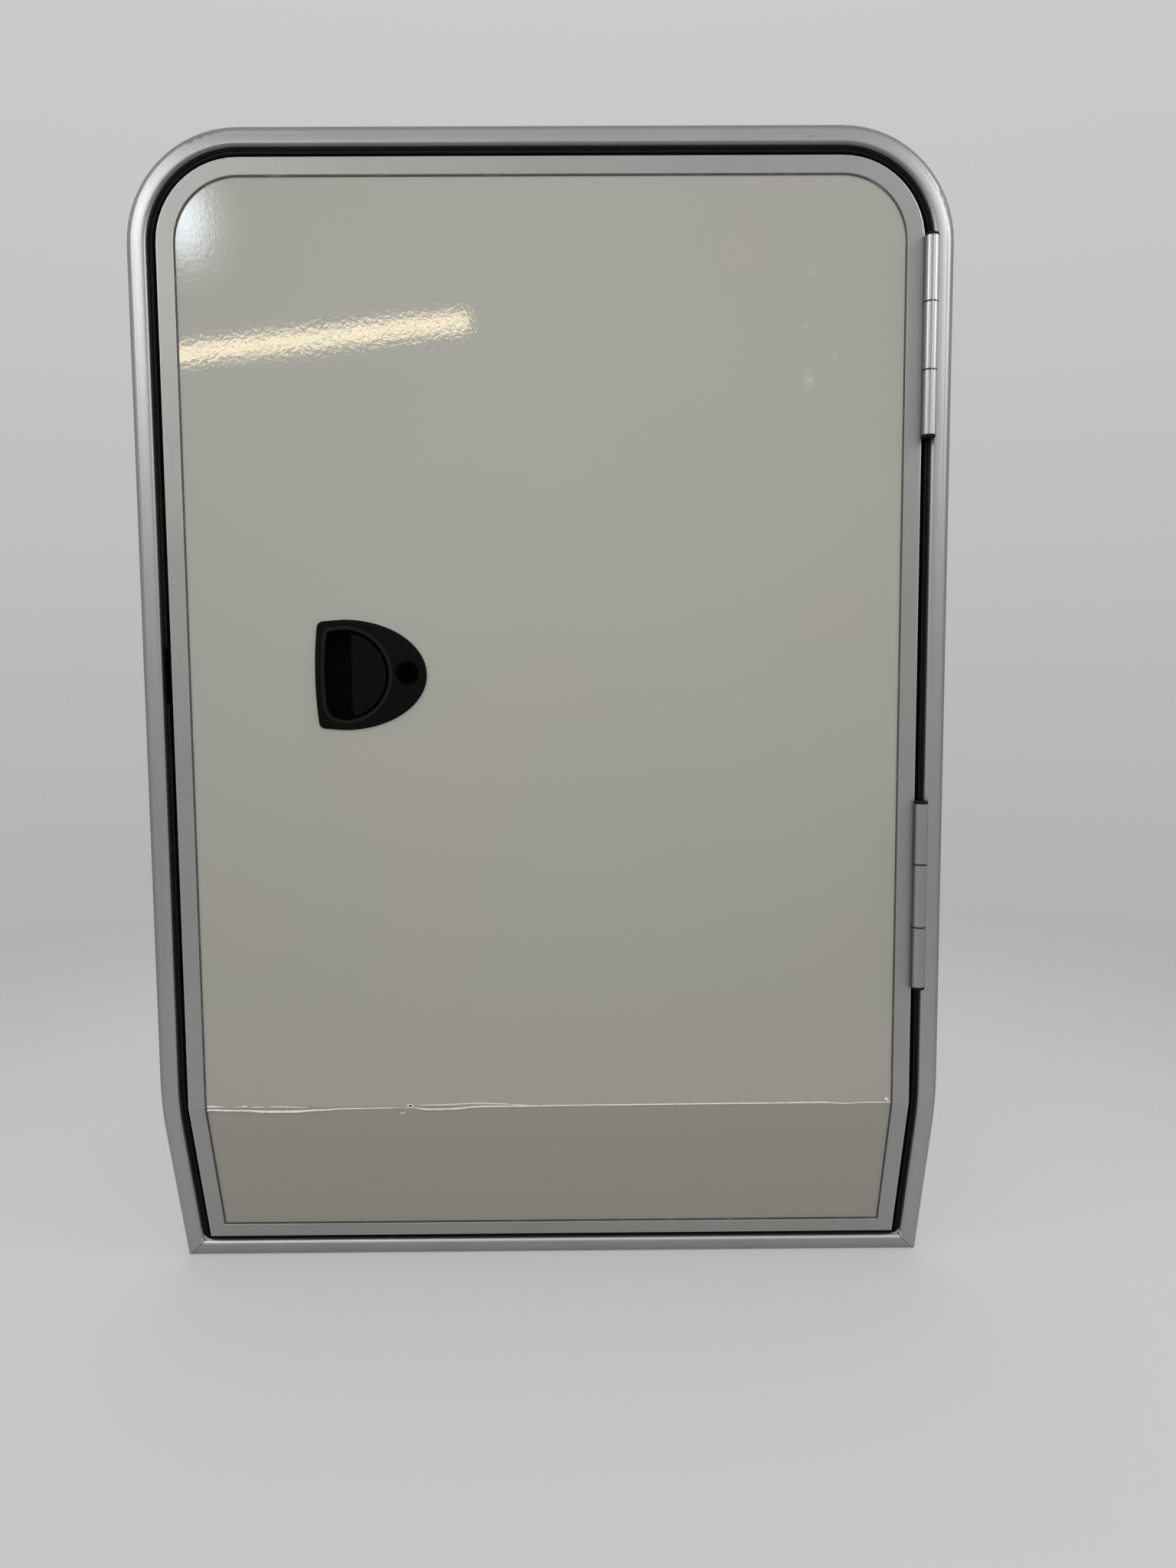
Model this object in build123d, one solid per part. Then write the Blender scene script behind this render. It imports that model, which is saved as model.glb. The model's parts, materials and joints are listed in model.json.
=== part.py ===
from build123d import *
from math import cos, radians, sin, sqrt, tan
import os

# Outline of the door, measured on the front face of the outer frame
WIDTH = 700.0
UPPER_HEIGHT = 845.0  # fold line up to the top edge
LOWER_LENGTH = 177.0  # fold line down to the bottom edge, along the lower section
FOLD_ANGLE = 18.7  # the lower section tilts this far back into the wall
CORNER_R = 96.0  # outer radius of both top corners
FRAME_BEND_R = 160.0  # the outer frame is eased round the fold

# Outer frame extrusion: crowned flange, wall through the vehicle side, rear flange
FACE_WIDTH = 16.9
CROWN_WIDTH = 6.5
CROWN_MIDDLE_U = 1.6  # the crown passes through this point between the outline and the face
CROWN_MIDDLE_V = 1.1
FLANGE_DEPTH = 3.2
INNER_EDGE_R = 4.0
FRAME_WALL = 2.0
FRAME_DEPTH = 33.0
REAR_FLANGE = 14.1
FOOT_WIDTH = 6.0
FOOT_DEPTH = 8.0
TAPE_GROOVE_WIDTH = 6.0
TAPE_GROOVE_DEPTH = 0.8
TAPE_GROOVE_INSET = 4.5

# Clamp screws enter the foot of the extrusion from behind
CLAMP_HOLE_R = 1.6
CLAMP_HOLE_DEPTH = 6.0
CLAMP_BELOW_TOP = 165.0
CLAMP_ABOVE_FOLD = 120.0

# Rubber gasket on the wall and the rear flange of the outer frame
GASKET_BASE = 1.4
GASKET_START = 4.6
RIB_COUNT = 4
RIB_PITCH = 5.0
RIB_THICKNESS = 1.2
RIB_HEIGHT = 4.1
BULB_R = 2.2
BULB_WALL = 0.9
BULB_CLEARANCE = 0.3
GASKET_SETBACK = 1.0  # from the edge of the rear flange

# Door leaf
LEAF_GAP = 8.4  # frame wall to leaf edge
LEAF_PROUD = 1.0  # leaf face in front of the frame face
LEAF_DEPTH = 26.0
LEAF_FACE = 15.0
LEAF_REAR_LIP = 12.0
LEAF_SKIN = 1.4
LEAF_WEB = 1.8
LEAF_EDGE_R = 1.5
LEAF_INNER_CHAMFER = 0.35
PANEL_CLEARANCE = 0.4
SKIN = 1.2
EDGE_SEAL_WIDTH = 1.3
EDGE_SEAL_HEIGHT = 0.9
BEAD_R = 2.0
BEAD_THIN_R = 0.8
BEAD_STATIONS = 9
BEAD_THICK_SHARE = 0.42  # the thick part ends this far along
BEAD_TAPER_POWER = 6
BEAD_WAVE = 0.5
BEAD_WAVE_TURN = 17.0  # radians over the whole bead
CLEAT_LEG = 30.0
CLEAT_WIDTH = 14.0
CLEAT_THICKNESS = 2.0
CLEAT_CLEARANCE = 0.3

# Bracket and insert at the bottom corners of the outer frame
BRACKET_LEG = 36.0
BRACKET_WIDTH = 14.0
BRACKET_THICKNESS = 2.0
BRACKET_FRONT = 7.0
INSERT_R = 9.0

# Hinges: three knuckles on a vertical axis over the middle of the gap
UPPER_HINGE_BELOW_TOP = 175.4
LOWER_HINGE_ABOVE_FOLD = 190.2
BARREL_R = 6.0
BARREL_AXIS_PROUD = 5.5
OUTER_KNUCKLE = 53.2
MIDDLE_KNUCKLE = 55.3
KNUCKLE_GAP = 0.7
WASHER_THICKNESS = 0.5
WASHER_SETBACK = 0.3
HINGE_PLATE = 2.0
HINGE_PLATE_DEPTH = 22.0
HINGE_PLATE_SHORT = 3.0  # each knuckle overhangs the end of its plate by this much
PIN_R = 3.0
RUNNING_CLEARANCE = 0.05
CAP_LENGTH = 2.8
CAP_RECESS = 1.6
HINGE_SCREW_R = 1.75
HINGE_SCREW_HEAD_R = 3.2
HINGE_SCREW_PITCH = 60.0
HINGE_SCREW_DEPTH = 13.0
HINGE_SCREW_LENGTH = 9.0
GASKET_NOTCH = 3.0

# Flush handle: a D-shaped housing, its finger pocket and the paddle
HANDLE_INSET = 198.8  # from the left side of the outline to the middle of the handle
HANDLE_Z = 387.3  # above the fold line
BOW_CENTRE = -23.7  # where the rounded side of each D starts
HOUSING_HALF = 47.9
HOUSING_REACH = 71.9  # half ellipse of the housing, from the start of its bow to the right end
HOUSING_LEFT = 49.0
HOUSING_PROUD = 2.6
HOUSING_EDGE_R = 2.2
HOUSING_CORNER_R = 6.0
POCKET_HALF = 39.2
POCKET_LEFT = 40.4
POCKET_CORNER_R = 4.0
POCKET_LOWER_R = 14.0
POCKET_WALL = 2.0
POCKET_DEPTH = 15.0
RIM_WIDTH = 3.3  # raised rim round the pocket
RIM_HEIGHT = 0.7
RIM_EDGE_R = 0.5
SIDE_BOW = 3.0  # the straight side of each D swells by this much
SIDE_TAPER = 1.6
CUTOUT_CLEARANCE = 0.5
LOCK_X = 31.0
LOCK_Z = 0.8
LOCK_BORE_R = 9.0
LOCK_SINK_R = 11.1
LOCK_SINK_DEPTH = 2.4
LOCK_BOSS_R = 12.6
LOCK_BORE_DEPTH = 17.0
GUSSET_THICKNESS = 4.0
GUSSET_HALF = 3.6
GUSSET_HEIGHT = 12.2
GUSSET_X = -26.8
GUSSET_SUNK = 0.5  # into the wall of the pocket

# Paddle and its pin
PADDLE_LEFT = -16.6
PADDLE_CLEARANCE = 2.7
PADDLE_CORNER_R = 3.0
PADDLE_THICKNESS = 4.2
PADDLE_SUNK = 0.6  # paddle face behind the rim of the housing
PADDLE_PIN_X = 9.0
PADDLE_PIN_DEPTH = 3.2  # pin axis behind the paddle face
PADDLE_PIN_R = 1.5
PADDLE_BARREL_R = 2.9
PADDLE_LIP = 2.4
PADDLE_LIP_DEPTH = 5.0
PADDLE_LIP_HALF = 28.0
PADDLE_FIN_GAP = 6.2
PADDLE_FIN_THICKNESS = 2.4
FIN_SETBACK = 4.0  # behind the lip
FIN_ROOT = 16.0
FIN_TIP_START = 6.0
FIN_TIP_END = 11.0
FIN_FLOOR_GAP = 1.0
SPRING_GAP = 15.0
SPRING_WIRE_R = 0.35
SPRING_CLEARANCE = 0.2
SPRING_COILS = 4
WIRE_SIDES = 8  # flats of each spring wire

# Latch bolt on a rod behind the pocket, running to the left edge of the leaf
BOLT_AXIS_DEPTH = 17.6  # behind the frame face
BOLT_HEIGHT = 13.0
BOLT_THICKNESS = 6.4
BOLT_LENGTH = 24.0
BOLT_SETBACK = 0.7  # tip behind the leaf edge when drawn back
BOLT_BEVEL = 4.5
BOLT_CLEARANCE = 0.3
ROD_R = 1.8
ROD_CLEARANCE = 0.6
COLLAR_R = 3.4
COLLAR_LENGTH = 3.0
COLLAR_FROM_BOLT = 14.0
CHANNEL_HALF = 4.6
GUIDE_LENGTH = 10.0
GUIDE_WALL = 1.2
BOLT_SPRING_R = 2.9
BOLT_SPRING_WIRE_R = 0.5
BOLT_SPRING_COILS = 5
BOLT_SPRING_LENGTH = 22.0
STOP_THICKNESS = 4.0
CATCH_WIDTH = 4.4
CATCH_X = 0.8
CATCH_FRONT = 8.5
CATCH_CLEARANCE = 0.6
SLOT_TRAVEL = 9.0
SLOT_CLEARANCE = 1.0

# Keeper on the frame wall, hooked in front of the bolt
KEEPER_HEIGHT = 44.0
KEEPER_PLATE = 1.6
KEEPER_NOSE = 5.4
KEEPER_NOSE_THICKNESS = 2.6
KEEPER_NOSE_HEIGHT = 20.0
KEEPER_DEPTH = 10.0
KEEPER_SCREW_R = 1.6
KEEPER_SCREW_HEAD_R = 2.8
KEEPER_SCREW_PITCH = 32.0
KEEPER_SCREW_LENGTH = 7.0

# Inner cover plate behind the handle
COVER_WIDTH = 116.0
COVER_HEIGHT = 112.0
COVER_THICKNESS = 1.5
COVER_CORNER_R = 8.0
COVER_SCREW_R = 1.75
COVER_SCREW_HEAD_R = 3.4
COVER_SCREW_HEAD = 1.8
COVER_SCREW_CHAMFER = 0.8
COVER_SCREW_LENGTH = 9.0
COVER_SCREW_LEFT = (-43.0, 33.0)  # from the middle of the handle, above and below
COVER_SCREW_RIGHT = (25.3, 29.0)
COVER_POST_R = 3.6

OVERRUN = 1.0  # cuts and joins run this far past the faces that they meet

# Places that follow from the sizes above
HALF_FOLD = FOLD_ANGLE / 2
WALL_U = FACE_WIDTH  # inner face of the frame wall, in from the outline
LEAF_U = WALL_U + LEAF_GAP
LEAF_FRONT = -LEAF_PROUD
LEAF_REAR = LEAF_FRONT + LEAF_DEPTH
PANEL_U = LEAF_U + LEAF_WEB + PANEL_CLEARANCE
PANEL_FRONT = LEAF_FRONT + LEAF_SKIN
PANEL_REAR = LEAF_REAR - LEAF_SKIN
SEAL_U = LEAF_U + LEAF_FACE
LEDGE_FRONT = FRAME_DEPTH - FRAME_WALL
CLAMP_X = WIDTH / 2 - WALL_U + FOOT_WIDTH / 2
CLAMP_SPACING_Z = UPPER_HEIGHT - CLAMP_BELOW_TOP - CLAMP_ABOVE_FOLD
CLAMP_CENTRE_Z = CLAMP_ABOVE_FOLD + CLAMP_SPACING_Z / 2
HINGE_CENTRES = {"upper": UPPER_HEIGHT - UPPER_HINGE_BELOW_TOP, "lower": LOWER_HINGE_ABOVE_FOLD}
HINGE_X = WIDTH / 2 - WALL_U - LEAF_GAP / 2
HINGE_Y = -BARREL_AXIS_PROUD
HANDLE_X = -WIDTH / 2 + HANDLE_INSET
HOUSING_FRONT = PANEL_FRONT - HOUSING_PROUD
POCKET_FLOOR = HOUSING_FRONT + POCKET_DEPTH
PADDLE_FRONT = HOUSING_FRONT + PADDLE_SUNK
PIN_Y = PADDLE_FRONT + PADDLE_PIN_DEPTH
LEAF_EDGE_X = -WIDTH / 2 + LEAF_U
BOLT_TIP_X = LEAF_EDGE_X + BOLT_SETBACK
BOLT_BACK_X = BOLT_TIP_X + BOLT_LENGTH

FOLD_PLANE = Plane(
    origin=(0, 0, 0),
    x_dir=(1, 0, 0),
    z_dir=(0, -sin(radians(HALF_FOLD)), cos(radians(HALF_FOLD))),
)
ORIGIN = Pos(0, -FRAME_DEPTH, -CLAMP_CENTRE_Z)


def tilt(shape):
    """Swing a piece drawn straight below the fold line into the lower section."""
    return Rot(FOLD_ANGLE, 0, 0) * shape


def above_fold(shape):
    return split(shape, bisect_by=FOLD_PLANE, keep=Keep.TOP)


def below_fold(shape):
    return split(shape, bisect_by=FOLD_PLANE, keep=Keep.BOTTOM)


def with_mirror(shape):
    return shape + mirror(shape, about=Plane.YZ)


def polygon(*points):
    """Face of straight sides through the points (inward, depth)."""
    return make_face(Polyline(*points, close=True))


def block(x0, x1, y0, y1, z0, z1):
    size = (x1 - x0, y1 - y0, z1 - z0)
    return Pos((x0 + x1) / 2, (y0 + y1) / 2, (z0 + z1) / 2) * Box(*size)


def slab(face, front, back, x=0.0, z=0.0):
    """Sheet with the outline of a face drawn in x and z, from one depth to another."""
    plane = Plane(origin=(x, back, z), x_dir=(1, 0, 0), z_dir=(0, -1, 0))
    return extrude(plane * face, amount=back - front)


def rod_y(radius, front, back, x, z):
    return slab(Circle(radius), front, back, x, z)


def rod_x(radius, x0, x1, y, z):
    return Pos((x0 + x1) / 2, y, z) * Rot(0, 90, 0) * Cylinder(radius, x1 - x0)


def rod_z(radius, x, y, z0, z1):
    return Pos(x, y, (z0 + z1) / 2) * Cylinder(radius, z1 - z0)


def upper_arch(profile, start):
    """Left stile from a height, round the top corner and to the middle of the top rail."""
    stile = Plane(origin=(-WIDTH / 2, 0, start), x_dir=(1, 0, 0), z_dir=(0, 0, 1))
    bend = Plane(origin=(-WIDTH / 2, 0, UPPER_HEIGHT - CORNER_R), x_dir=(1, 0, 0), z_dir=(0, 0, 1))
    rail = Plane(origin=(-WIDTH / 2 + CORNER_R, 0, UPPER_HEIGHT), x_dir=(0, 0, -1), z_dir=(1, 0, 0))
    centre = Axis((-WIDTH / 2 + CORNER_R, 0, UPPER_HEIGHT - CORNER_R), (0, 1, 0))
    part = extrude(stile * profile, amount=UPPER_HEIGHT - CORNER_R - start)
    part += revolve(bend * profile, axis=centre, revolution_arc=90)
    part += extrude(rail * profile, amount=WIDTH / 2 - CORNER_R)
    return part


def lower_leg(profile, start):
    """Left stile below the fold, straight, cut at 45 degrees for the sill."""
    foot = Plane(origin=(-WIDTH / 2, 0, -LOWER_LENGTH), x_dir=(1, 0, 0), z_dir=(0, 0, 1))
    leg = extrude(foot * profile, amount=LOWER_LENGTH - start)
    return split(leg, bisect_by=mitre_plane(), keep=Keep.TOP)


def mitre_plane():
    corner = (-WIDTH / 2, 0, -LOWER_LENGTH)
    return Plane(origin=corner, x_dir=(0, 1, 0), z_dir=(-1, 0, 1))


def sill(profile):
    """Bottom rail between two mitres, in the lower section."""
    start = Plane(origin=(0, 0, -LOWER_LENGTH), x_dir=(0, 0, 1), z_dir=(-1, 0, 0))
    half = extrude(start * profile, amount=WIDTH / 2)
    half = split(half, bisect_by=mitre_plane(), keep=Keep.BOTTOM)
    return tilt(with_mirror(half))


def eased_arch(profile):
    """Arch whose stiles are bent round the fold at FRAME_BEND_R."""
    tangent = FRAME_BEND_R * tan(radians(HALF_FOLD))
    bend = Plane(origin=(-WIDTH / 2, 0, tangent), x_dir=(1, 0, 0), z_dir=(0, 0, 1))
    centre = Axis((0, FRAME_BEND_R, tangent), (1, 0, 0))
    half = upper_arch(profile, tangent)
    half += revolve(bend * profile, axis=centre, revolution_arc=FOLD_ANGLE)
    half += tilt(lower_leg(profile, tangent))
    return with_mirror(half)


def notched_arch(profile):
    """Arch whose stiles are notched and closed to a sharp fold."""
    overlap = LEAF_DEPTH
    half = above_fold(upper_arch(profile, -overlap))
    half += below_fold(tilt(lower_leg(profile, -overlap)))
    return with_mirror(half)


def frame_profile():
    edge = INNER_EDGE_R * (1 - sqrt(0.5))
    foot_u = WALL_U - FOOT_WIDTH
    groove_u = TAPE_GROOVE_INSET + TAPE_GROOVE_WIDTH
    groove_v = FLANGE_DEPTH - TAPE_GROOVE_DEPTH
    crown = ThreePointArc((0, FLANGE_DEPTH), (CROWN_MIDDLE_U, CROWN_MIDDLE_V), (CROWN_WIDTH, 0))
    face = Line((CROWN_WIDTH, 0), (WALL_U - INNER_EDGE_R, 0))
    edge_arc = ThreePointArc((WALL_U - INNER_EDGE_R, 0), (WALL_U - edge, edge), (WALL_U, INNER_EDGE_R))
    rest = Polyline(
        (WALL_U, INNER_EDGE_R),
        (WALL_U, LEDGE_FRONT),
        (WALL_U + REAR_FLANGE, LEDGE_FRONT),
        (WALL_U + REAR_FLANGE, FRAME_DEPTH),
        (foot_u, FRAME_DEPTH),
        (foot_u, FRAME_DEPTH - FOOT_DEPTH),
        (WALL_U - FRAME_WALL, FRAME_DEPTH - FOOT_DEPTH),
        (WALL_U - FRAME_WALL, FLANGE_DEPTH),
        (groove_u, FLANGE_DEPTH),
        (groove_u, groove_v),
        (TAPE_GROOVE_INSET, groove_v),
        (TAPE_GROOVE_INSET, FLANGE_DEPTH),
        (0, FLANGE_DEPTH),
    )
    return make_face([crown, face, edge_arc, rest])


def gasket_profile():
    reach = WALL_U + REAR_FLANGE - GASKET_SETBACK
    wall = polygon(
        (WALL_U, GASKET_START),
        (WALL_U + GASKET_BASE, GASKET_START),
        (WALL_U + GASKET_BASE, LEDGE_FRONT - GASKET_BASE),
        (reach, LEDGE_FRONT - GASKET_BASE),
        (reach, LEDGE_FRONT),
        (WALL_U, LEDGE_FRONT),
    )
    for rib in range(RIB_COUNT):
        middle = GASKET_START + RIB_THICKNESS + rib * RIB_PITCH
        centre = (WALL_U + RIB_HEIGHT / 2, middle)
        wall += Pos(*centre) * Rectangle(RIB_HEIGHT, RIB_THICKNESS)
    bulb_v = LEAF_REAR + BULB_CLEARANCE + BULB_R
    bulb_u = reach - BULB_R
    wall += Pos(bulb_u, bulb_v) * Circle(BULB_R)
    wall += Pos(bulb_u, (bulb_v + LEDGE_FRONT) / 2) * Rectangle(2 * BULB_R, LEDGE_FRONT - bulb_v)
    return wall - Pos(bulb_u, bulb_v) * Circle(BULB_R - BULB_WALL)


def leaf_profile():
    edge = LEAF_EDGE_R * (1 - sqrt(0.5))
    front_arc = ThreePointArc(
        (LEAF_U, LEAF_FRONT + LEAF_EDGE_R),
        (LEAF_U + edge, LEAF_FRONT + edge),
        (LEAF_U + LEAF_EDGE_R, LEAF_FRONT),
    )
    rest = Polyline(
        (LEAF_U + LEAF_EDGE_R, LEAF_FRONT),
        (SEAL_U - LEAF_INNER_CHAMFER, LEAF_FRONT),
        (SEAL_U, LEAF_FRONT + LEAF_INNER_CHAMFER),
        (SEAL_U, PANEL_FRONT),
        (LEAF_U + LEAF_WEB, PANEL_FRONT),
        (LEAF_U + LEAF_WEB, PANEL_REAR),
        (LEAF_U + LEAF_REAR_LIP, PANEL_REAR),
        (LEAF_U + LEAF_REAR_LIP, LEAF_REAR),
        (LEAF_U, LEAF_REAR),
        (LEAF_U, LEAF_FRONT + LEAF_EDGE_R),
    )
    return make_face([front_arc, rest])


def edge_seal_profile():
    return polygon(
        (SEAL_U, PANEL_FRONT - EDGE_SEAL_HEIGHT),
        (SEAL_U + EDGE_SEAL_WIDTH, PANEL_FRONT - EDGE_SEAL_HEIGHT),
        (SEAL_U + EDGE_SEAL_WIDTH, PANEL_FRONT),
        (SEAL_U, PANEL_FRONT),
    )


def outer_frame():
    frame = eased_arch(frame_profile())
    for side in (-1, 1):
        for end in (-1, 1):
            z = CLAMP_CENTRE_Z + end * CLAMP_SPACING_Z / 2
            frame -= rod_y(CLAMP_HOLE_R, FRAME_DEPTH - CLAMP_HOLE_DEPTH, FRAME_DEPTH, side * CLAMP_X, z)
    wall = WIDTH / 2 - WALL_U
    for z in HINGE_CENTRES.values():
        for hole in hinge_screw_heights(z):
            frame -= rod_x(HINGE_SCREW_R, wall, wall + FRAME_WALL, HINGE_SCREW_DEPTH, hole)
    for hole in keeper_screw_heights():
        x = -WIDTH / 2 + WALL_U
        frame -= rod_x(KEEPER_SCREW_R, x - FRAME_WALL, x, keeper_screw_depth(), hole)
    return frame


def frame_gasket():
    gasket = eased_arch(gasket_profile()) + sill(gasket_profile())
    reach = WALL_U + RIB_HEIGHT + OVERRUN
    for z in HINGE_CENTRES.values():
        half = hinge_length() / 2 + GASKET_NOTCH
        gasket -= block(WIDTH / 2 - reach, WIDTH / 2, 0, HINGE_PLATE_DEPTH + OVERRUN, z - half, z + half)
    half = KEEPER_HEIGHT / 2 + GASKET_NOTCH
    back = LEDGE_FRONT - GASKET_BASE
    gasket -= block(-WIDTH / 2, -WIDTH / 2 + reach, 0, back, HANDLE_Z - half, HANDLE_Z + half)
    return gasket


def corner_bracket():
    """Angle behind the left mitre, against the outside of the frame wall."""
    u = WALL_U - FRAME_WALL
    x = -WIDTH / 2 + u
    z = -LOWER_LENGTH + u
    back = BRACKET_FRONT + BRACKET_WIDTH
    upright = block(x - BRACKET_THICKNESS, x, BRACKET_FRONT, back, z - BRACKET_THICKNESS, z + BRACKET_LEG)
    foot = block(x - BRACKET_THICKNESS, x + BRACKET_LEG, BRACKET_FRONT, back, z - BRACKET_THICKNESS, z)
    return tilt(upright + foot)


def corner_insert():
    """Small concave fillet that rounds the left inner bottom corner of the frame."""
    x = -WIDTH / 2 + WALL_U
    z = -LOWER_LENGTH + WALL_U
    square = Pos(x + INSERT_R / 2, z + INSERT_R / 2) * Rectangle(INSERT_R, INSERT_R)
    face = square - Pos(x + INSERT_R, z + INSERT_R) * Circle(INSERT_R)
    return tilt(slab(face, INNER_EDGE_R, GASKET_START))


def cleat(clearance=0.0):
    """Angle inside the left bottom corner of the leaf frame."""
    u = LEAF_U + LEAF_WEB
    x = -WIDTH / 2 + u
    z = -LOWER_LENGTH + u
    middle = (LEAF_FRONT + LEAF_REAR) / 2
    front = middle - CLEAT_WIDTH / 2 - clearance
    back = middle + CLEAT_WIDTH / 2 + clearance
    thick = CLEAT_THICKNESS + clearance
    leg = CLEAT_LEG + clearance
    upright = block(x, x + thick, front, back, z, z + leg)
    foot = block(x, x + leg, front, back, z, z + thick)
    return tilt(upright + foot)


def hinge_length():
    return 2 * OUTER_KNUCKLE + MIDDLE_KNUCKLE + 2 * KNUCKLE_GAP


def hinge_screw_heights(centre):
    return [centre + step * HINGE_SCREW_PITCH for step in (-1, 0, 1)]


def outer_knuckles(centre):
    half = MIDDLE_KNUCKLE / 2 + KNUCKLE_GAP
    return [(centre + half, centre + half + OUTER_KNUCKLE), (centre - half - OUTER_KNUCKLE, centre - half)]


def screw_holes_x(plate, x0, x1, head_x, centre):
    """Countersunk holes along x through a hinge plate; head_x is the face that the heads lie in."""
    for z in hinge_screw_heights(centre):
        plate -= rod_x(HINGE_SCREW_R, x0, x1, HINGE_SCREW_DEPTH, z)
        plate -= countersink(x0, x1, head_x, HINGE_SCREW_DEPTH, z)
    return plate


def countersink(x0, x1, head_x, y, z, clearance=0.0):
    """Cone of a countersunk head that is widest at head_x."""
    depth = min(HINGE_SCREW_HEAD_R - HINGE_SCREW_R, x1 - x0)
    toward = 1 if head_x < (x0 + x1) / 2 else -1
    cone = Cone(HINGE_SCREW_HEAD_R - clearance, HINGE_SCREW_R - clearance, depth)
    return Pos(head_x + toward * depth / 2, y, z) * Rot(0, toward * 90, 0) * cone


def hinge_frame_plate(centre):
    """Plate on the frame wall with the two outer knuckles."""
    x1 = WIDTH / 2 - WALL_U
    x0 = x1 - HINGE_PLATE
    half = hinge_length() / 2
    reach = half - HINGE_PLATE_SHORT
    plate = block(x0, x1, HINGE_Y, HINGE_PLATE_DEPTH, centre - reach, centre + reach)
    gap = MIDDLE_KNUCKLE / 2 + KNUCKLE_GAP
    cut = hinge_cut_depth()
    plate -= block(x0 - OVERRUN, x1 + OVERRUN, HINGE_Y - OVERRUN, cut, centre - gap, centre + gap)
    for z0, z1 in outer_knuckles(centre):
        plate += rod_z(BARREL_R, HINGE_X, HINGE_Y, z0, z1)
    plate -= rod_z(PIN_R + RUNNING_CLEARANCE, HINGE_X, HINGE_Y, centre - half, centre + half)
    return screw_holes_x(plate, x0, x1, x0, centre)


def hinge_cut_depth():
    """The turning knuckles stay clear of the other plate down to this depth."""
    return BARREL_R - BARREL_AXIS_PROUD + OVERRUN


def hinge_leaf_plate(centre):
    """Plate on the leaf edge with the middle knuckle."""
    x0 = WIDTH / 2 - LEAF_U
    x1 = x0 + HINGE_PLATE
    half = hinge_length() / 2
    reach = half - HINGE_PLATE_SHORT
    clear = hinge_cut_depth()
    plate = block(x0, x1, clear, HINGE_PLATE_DEPTH, centre - reach, centre + reach)
    middle = MIDDLE_KNUCKLE / 2
    plate += block(x0, x1, HINGE_Y, clear, centre - middle, centre + middle)
    plate += rod_z(BARREL_R, HINGE_X, HINGE_Y, centre - middle, centre + middle)
    plate -= rod_z(PIN_R + RUNNING_CLEARANCE, HINGE_X, HINGE_Y, centre - half, centre + half)
    return screw_holes_x(plate, x0, x1, x1, centre)


def hinge_pin(centre):
    reach = hinge_length() / 2 + CAP_RECESS / 2
    return rod_z(PIN_R, HINGE_X, HINGE_Y, centre - reach, centre + reach)


def hinge_caps(centre):
    """Two domed end caps over the ends of the pin."""
    half = hinge_length() / 2
    cap = Pos(0, 0, CAP_LENGTH / 2) * Cylinder(BARREL_R, CAP_LENGTH)
    cap = fillet(cap.edges().group_by(Axis.Z)[-1], CAP_LENGTH / 2)
    cap -= Pos(0, 0, CAP_RECESS / 2) * Cylinder(PIN_R + RUNNING_CLEARANCE, CAP_RECESS)
    top = Pos(HINGE_X, HINGE_Y, centre + half) * cap
    bottom = Pos(HINGE_X, HINGE_Y, centre - half) * Rot(180, 0, 0) * cap
    return [top, bottom]


def hinge_washers(centre):
    ring = Cylinder(BARREL_R - WASHER_SETBACK, WASHER_THICKNESS)
    ring -= Cylinder(PIN_R + RUNNING_CLEARANCE, WASHER_THICKNESS)
    offset = MIDDLE_KNUCKLE / 2 + KNUCKLE_GAP / 2
    return [Pos(HINGE_X, HINGE_Y, centre + side * offset) * ring for side in (-1, 1)]


def hinge_screws(head_x, toward):
    """Countersunk screws of both hinges, through one plate each; toward is +1 or -1 along x."""
    screws = []
    for centre in HINGE_CENTRES.values():
        for z in hinge_screw_heights(centre):
            far = head_x + toward * HINGE_SCREW_LENGTH
            x0, x1 = sorted((head_x, far))
            shank = rod_x(HINGE_SCREW_R - RUNNING_CLEARANCE, x0, x1, HINGE_SCREW_DEPTH, z)
            head = countersink(x0, x1, head_x, HINGE_SCREW_DEPTH, z, RUNNING_CLEARANCE)
            screws.append(shank + head)
    return screws


def leaf_frame():
    frame = notched_arch(leaf_profile())
    for centre in HINGE_CENTRES.values():
        for z in hinge_screw_heights(centre):
            x = WIDTH / 2 - LEAF_U
            frame -= rod_x(HINGE_SCREW_R, x - LEAF_WEB, x, HINGE_SCREW_DEPTH, z)
    return frame - bolt_passage(LEAF_EDGE_X - OVERRUN, LEAF_EDGE_X + LEAF_WEB + OVERRUN)


def bolt_passage(x0, x1, extra=0.0):
    """Rectangular way for the bolt, with its clearance all round."""
    y = BOLT_THICKNESS / 2 + BOLT_CLEARANCE + extra
    z = BOLT_HEIGHT / 2 + BOLT_CLEARANCE + extra
    return block(x0, x1, BOLT_AXIS_DEPTH - y, BOLT_AXIS_DEPTH + y, HANDLE_Z - z, HANDLE_Z + z)


def upper_outline(inset):
    """Upper panel shape, run past the fold line so that it can be cut there."""
    over = LEAF_DEPTH
    height = UPPER_HEIGHT - inset + over
    face = Pos(0, UPPER_HEIGHT - inset - height / 2) * Rectangle(WIDTH - 2 * inset, height)
    return fillet(face.vertices().group_by(Axis.Y)[-1], CORNER_R - inset)


def lower_outline(inset):
    over = LEAF_DEPTH
    height = LOWER_LENGTH - inset + over
    return Pos(0, over - height / 2) * Rectangle(WIDTH - 2 * inset, height)


def upper_sheet(front, back):
    return above_fold(slab(upper_outline(PANEL_U), front, back))


def lower_sheet(front, back):
    return below_fold(tilt(slab(lower_outline(PANEL_U), front, back)))


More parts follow.
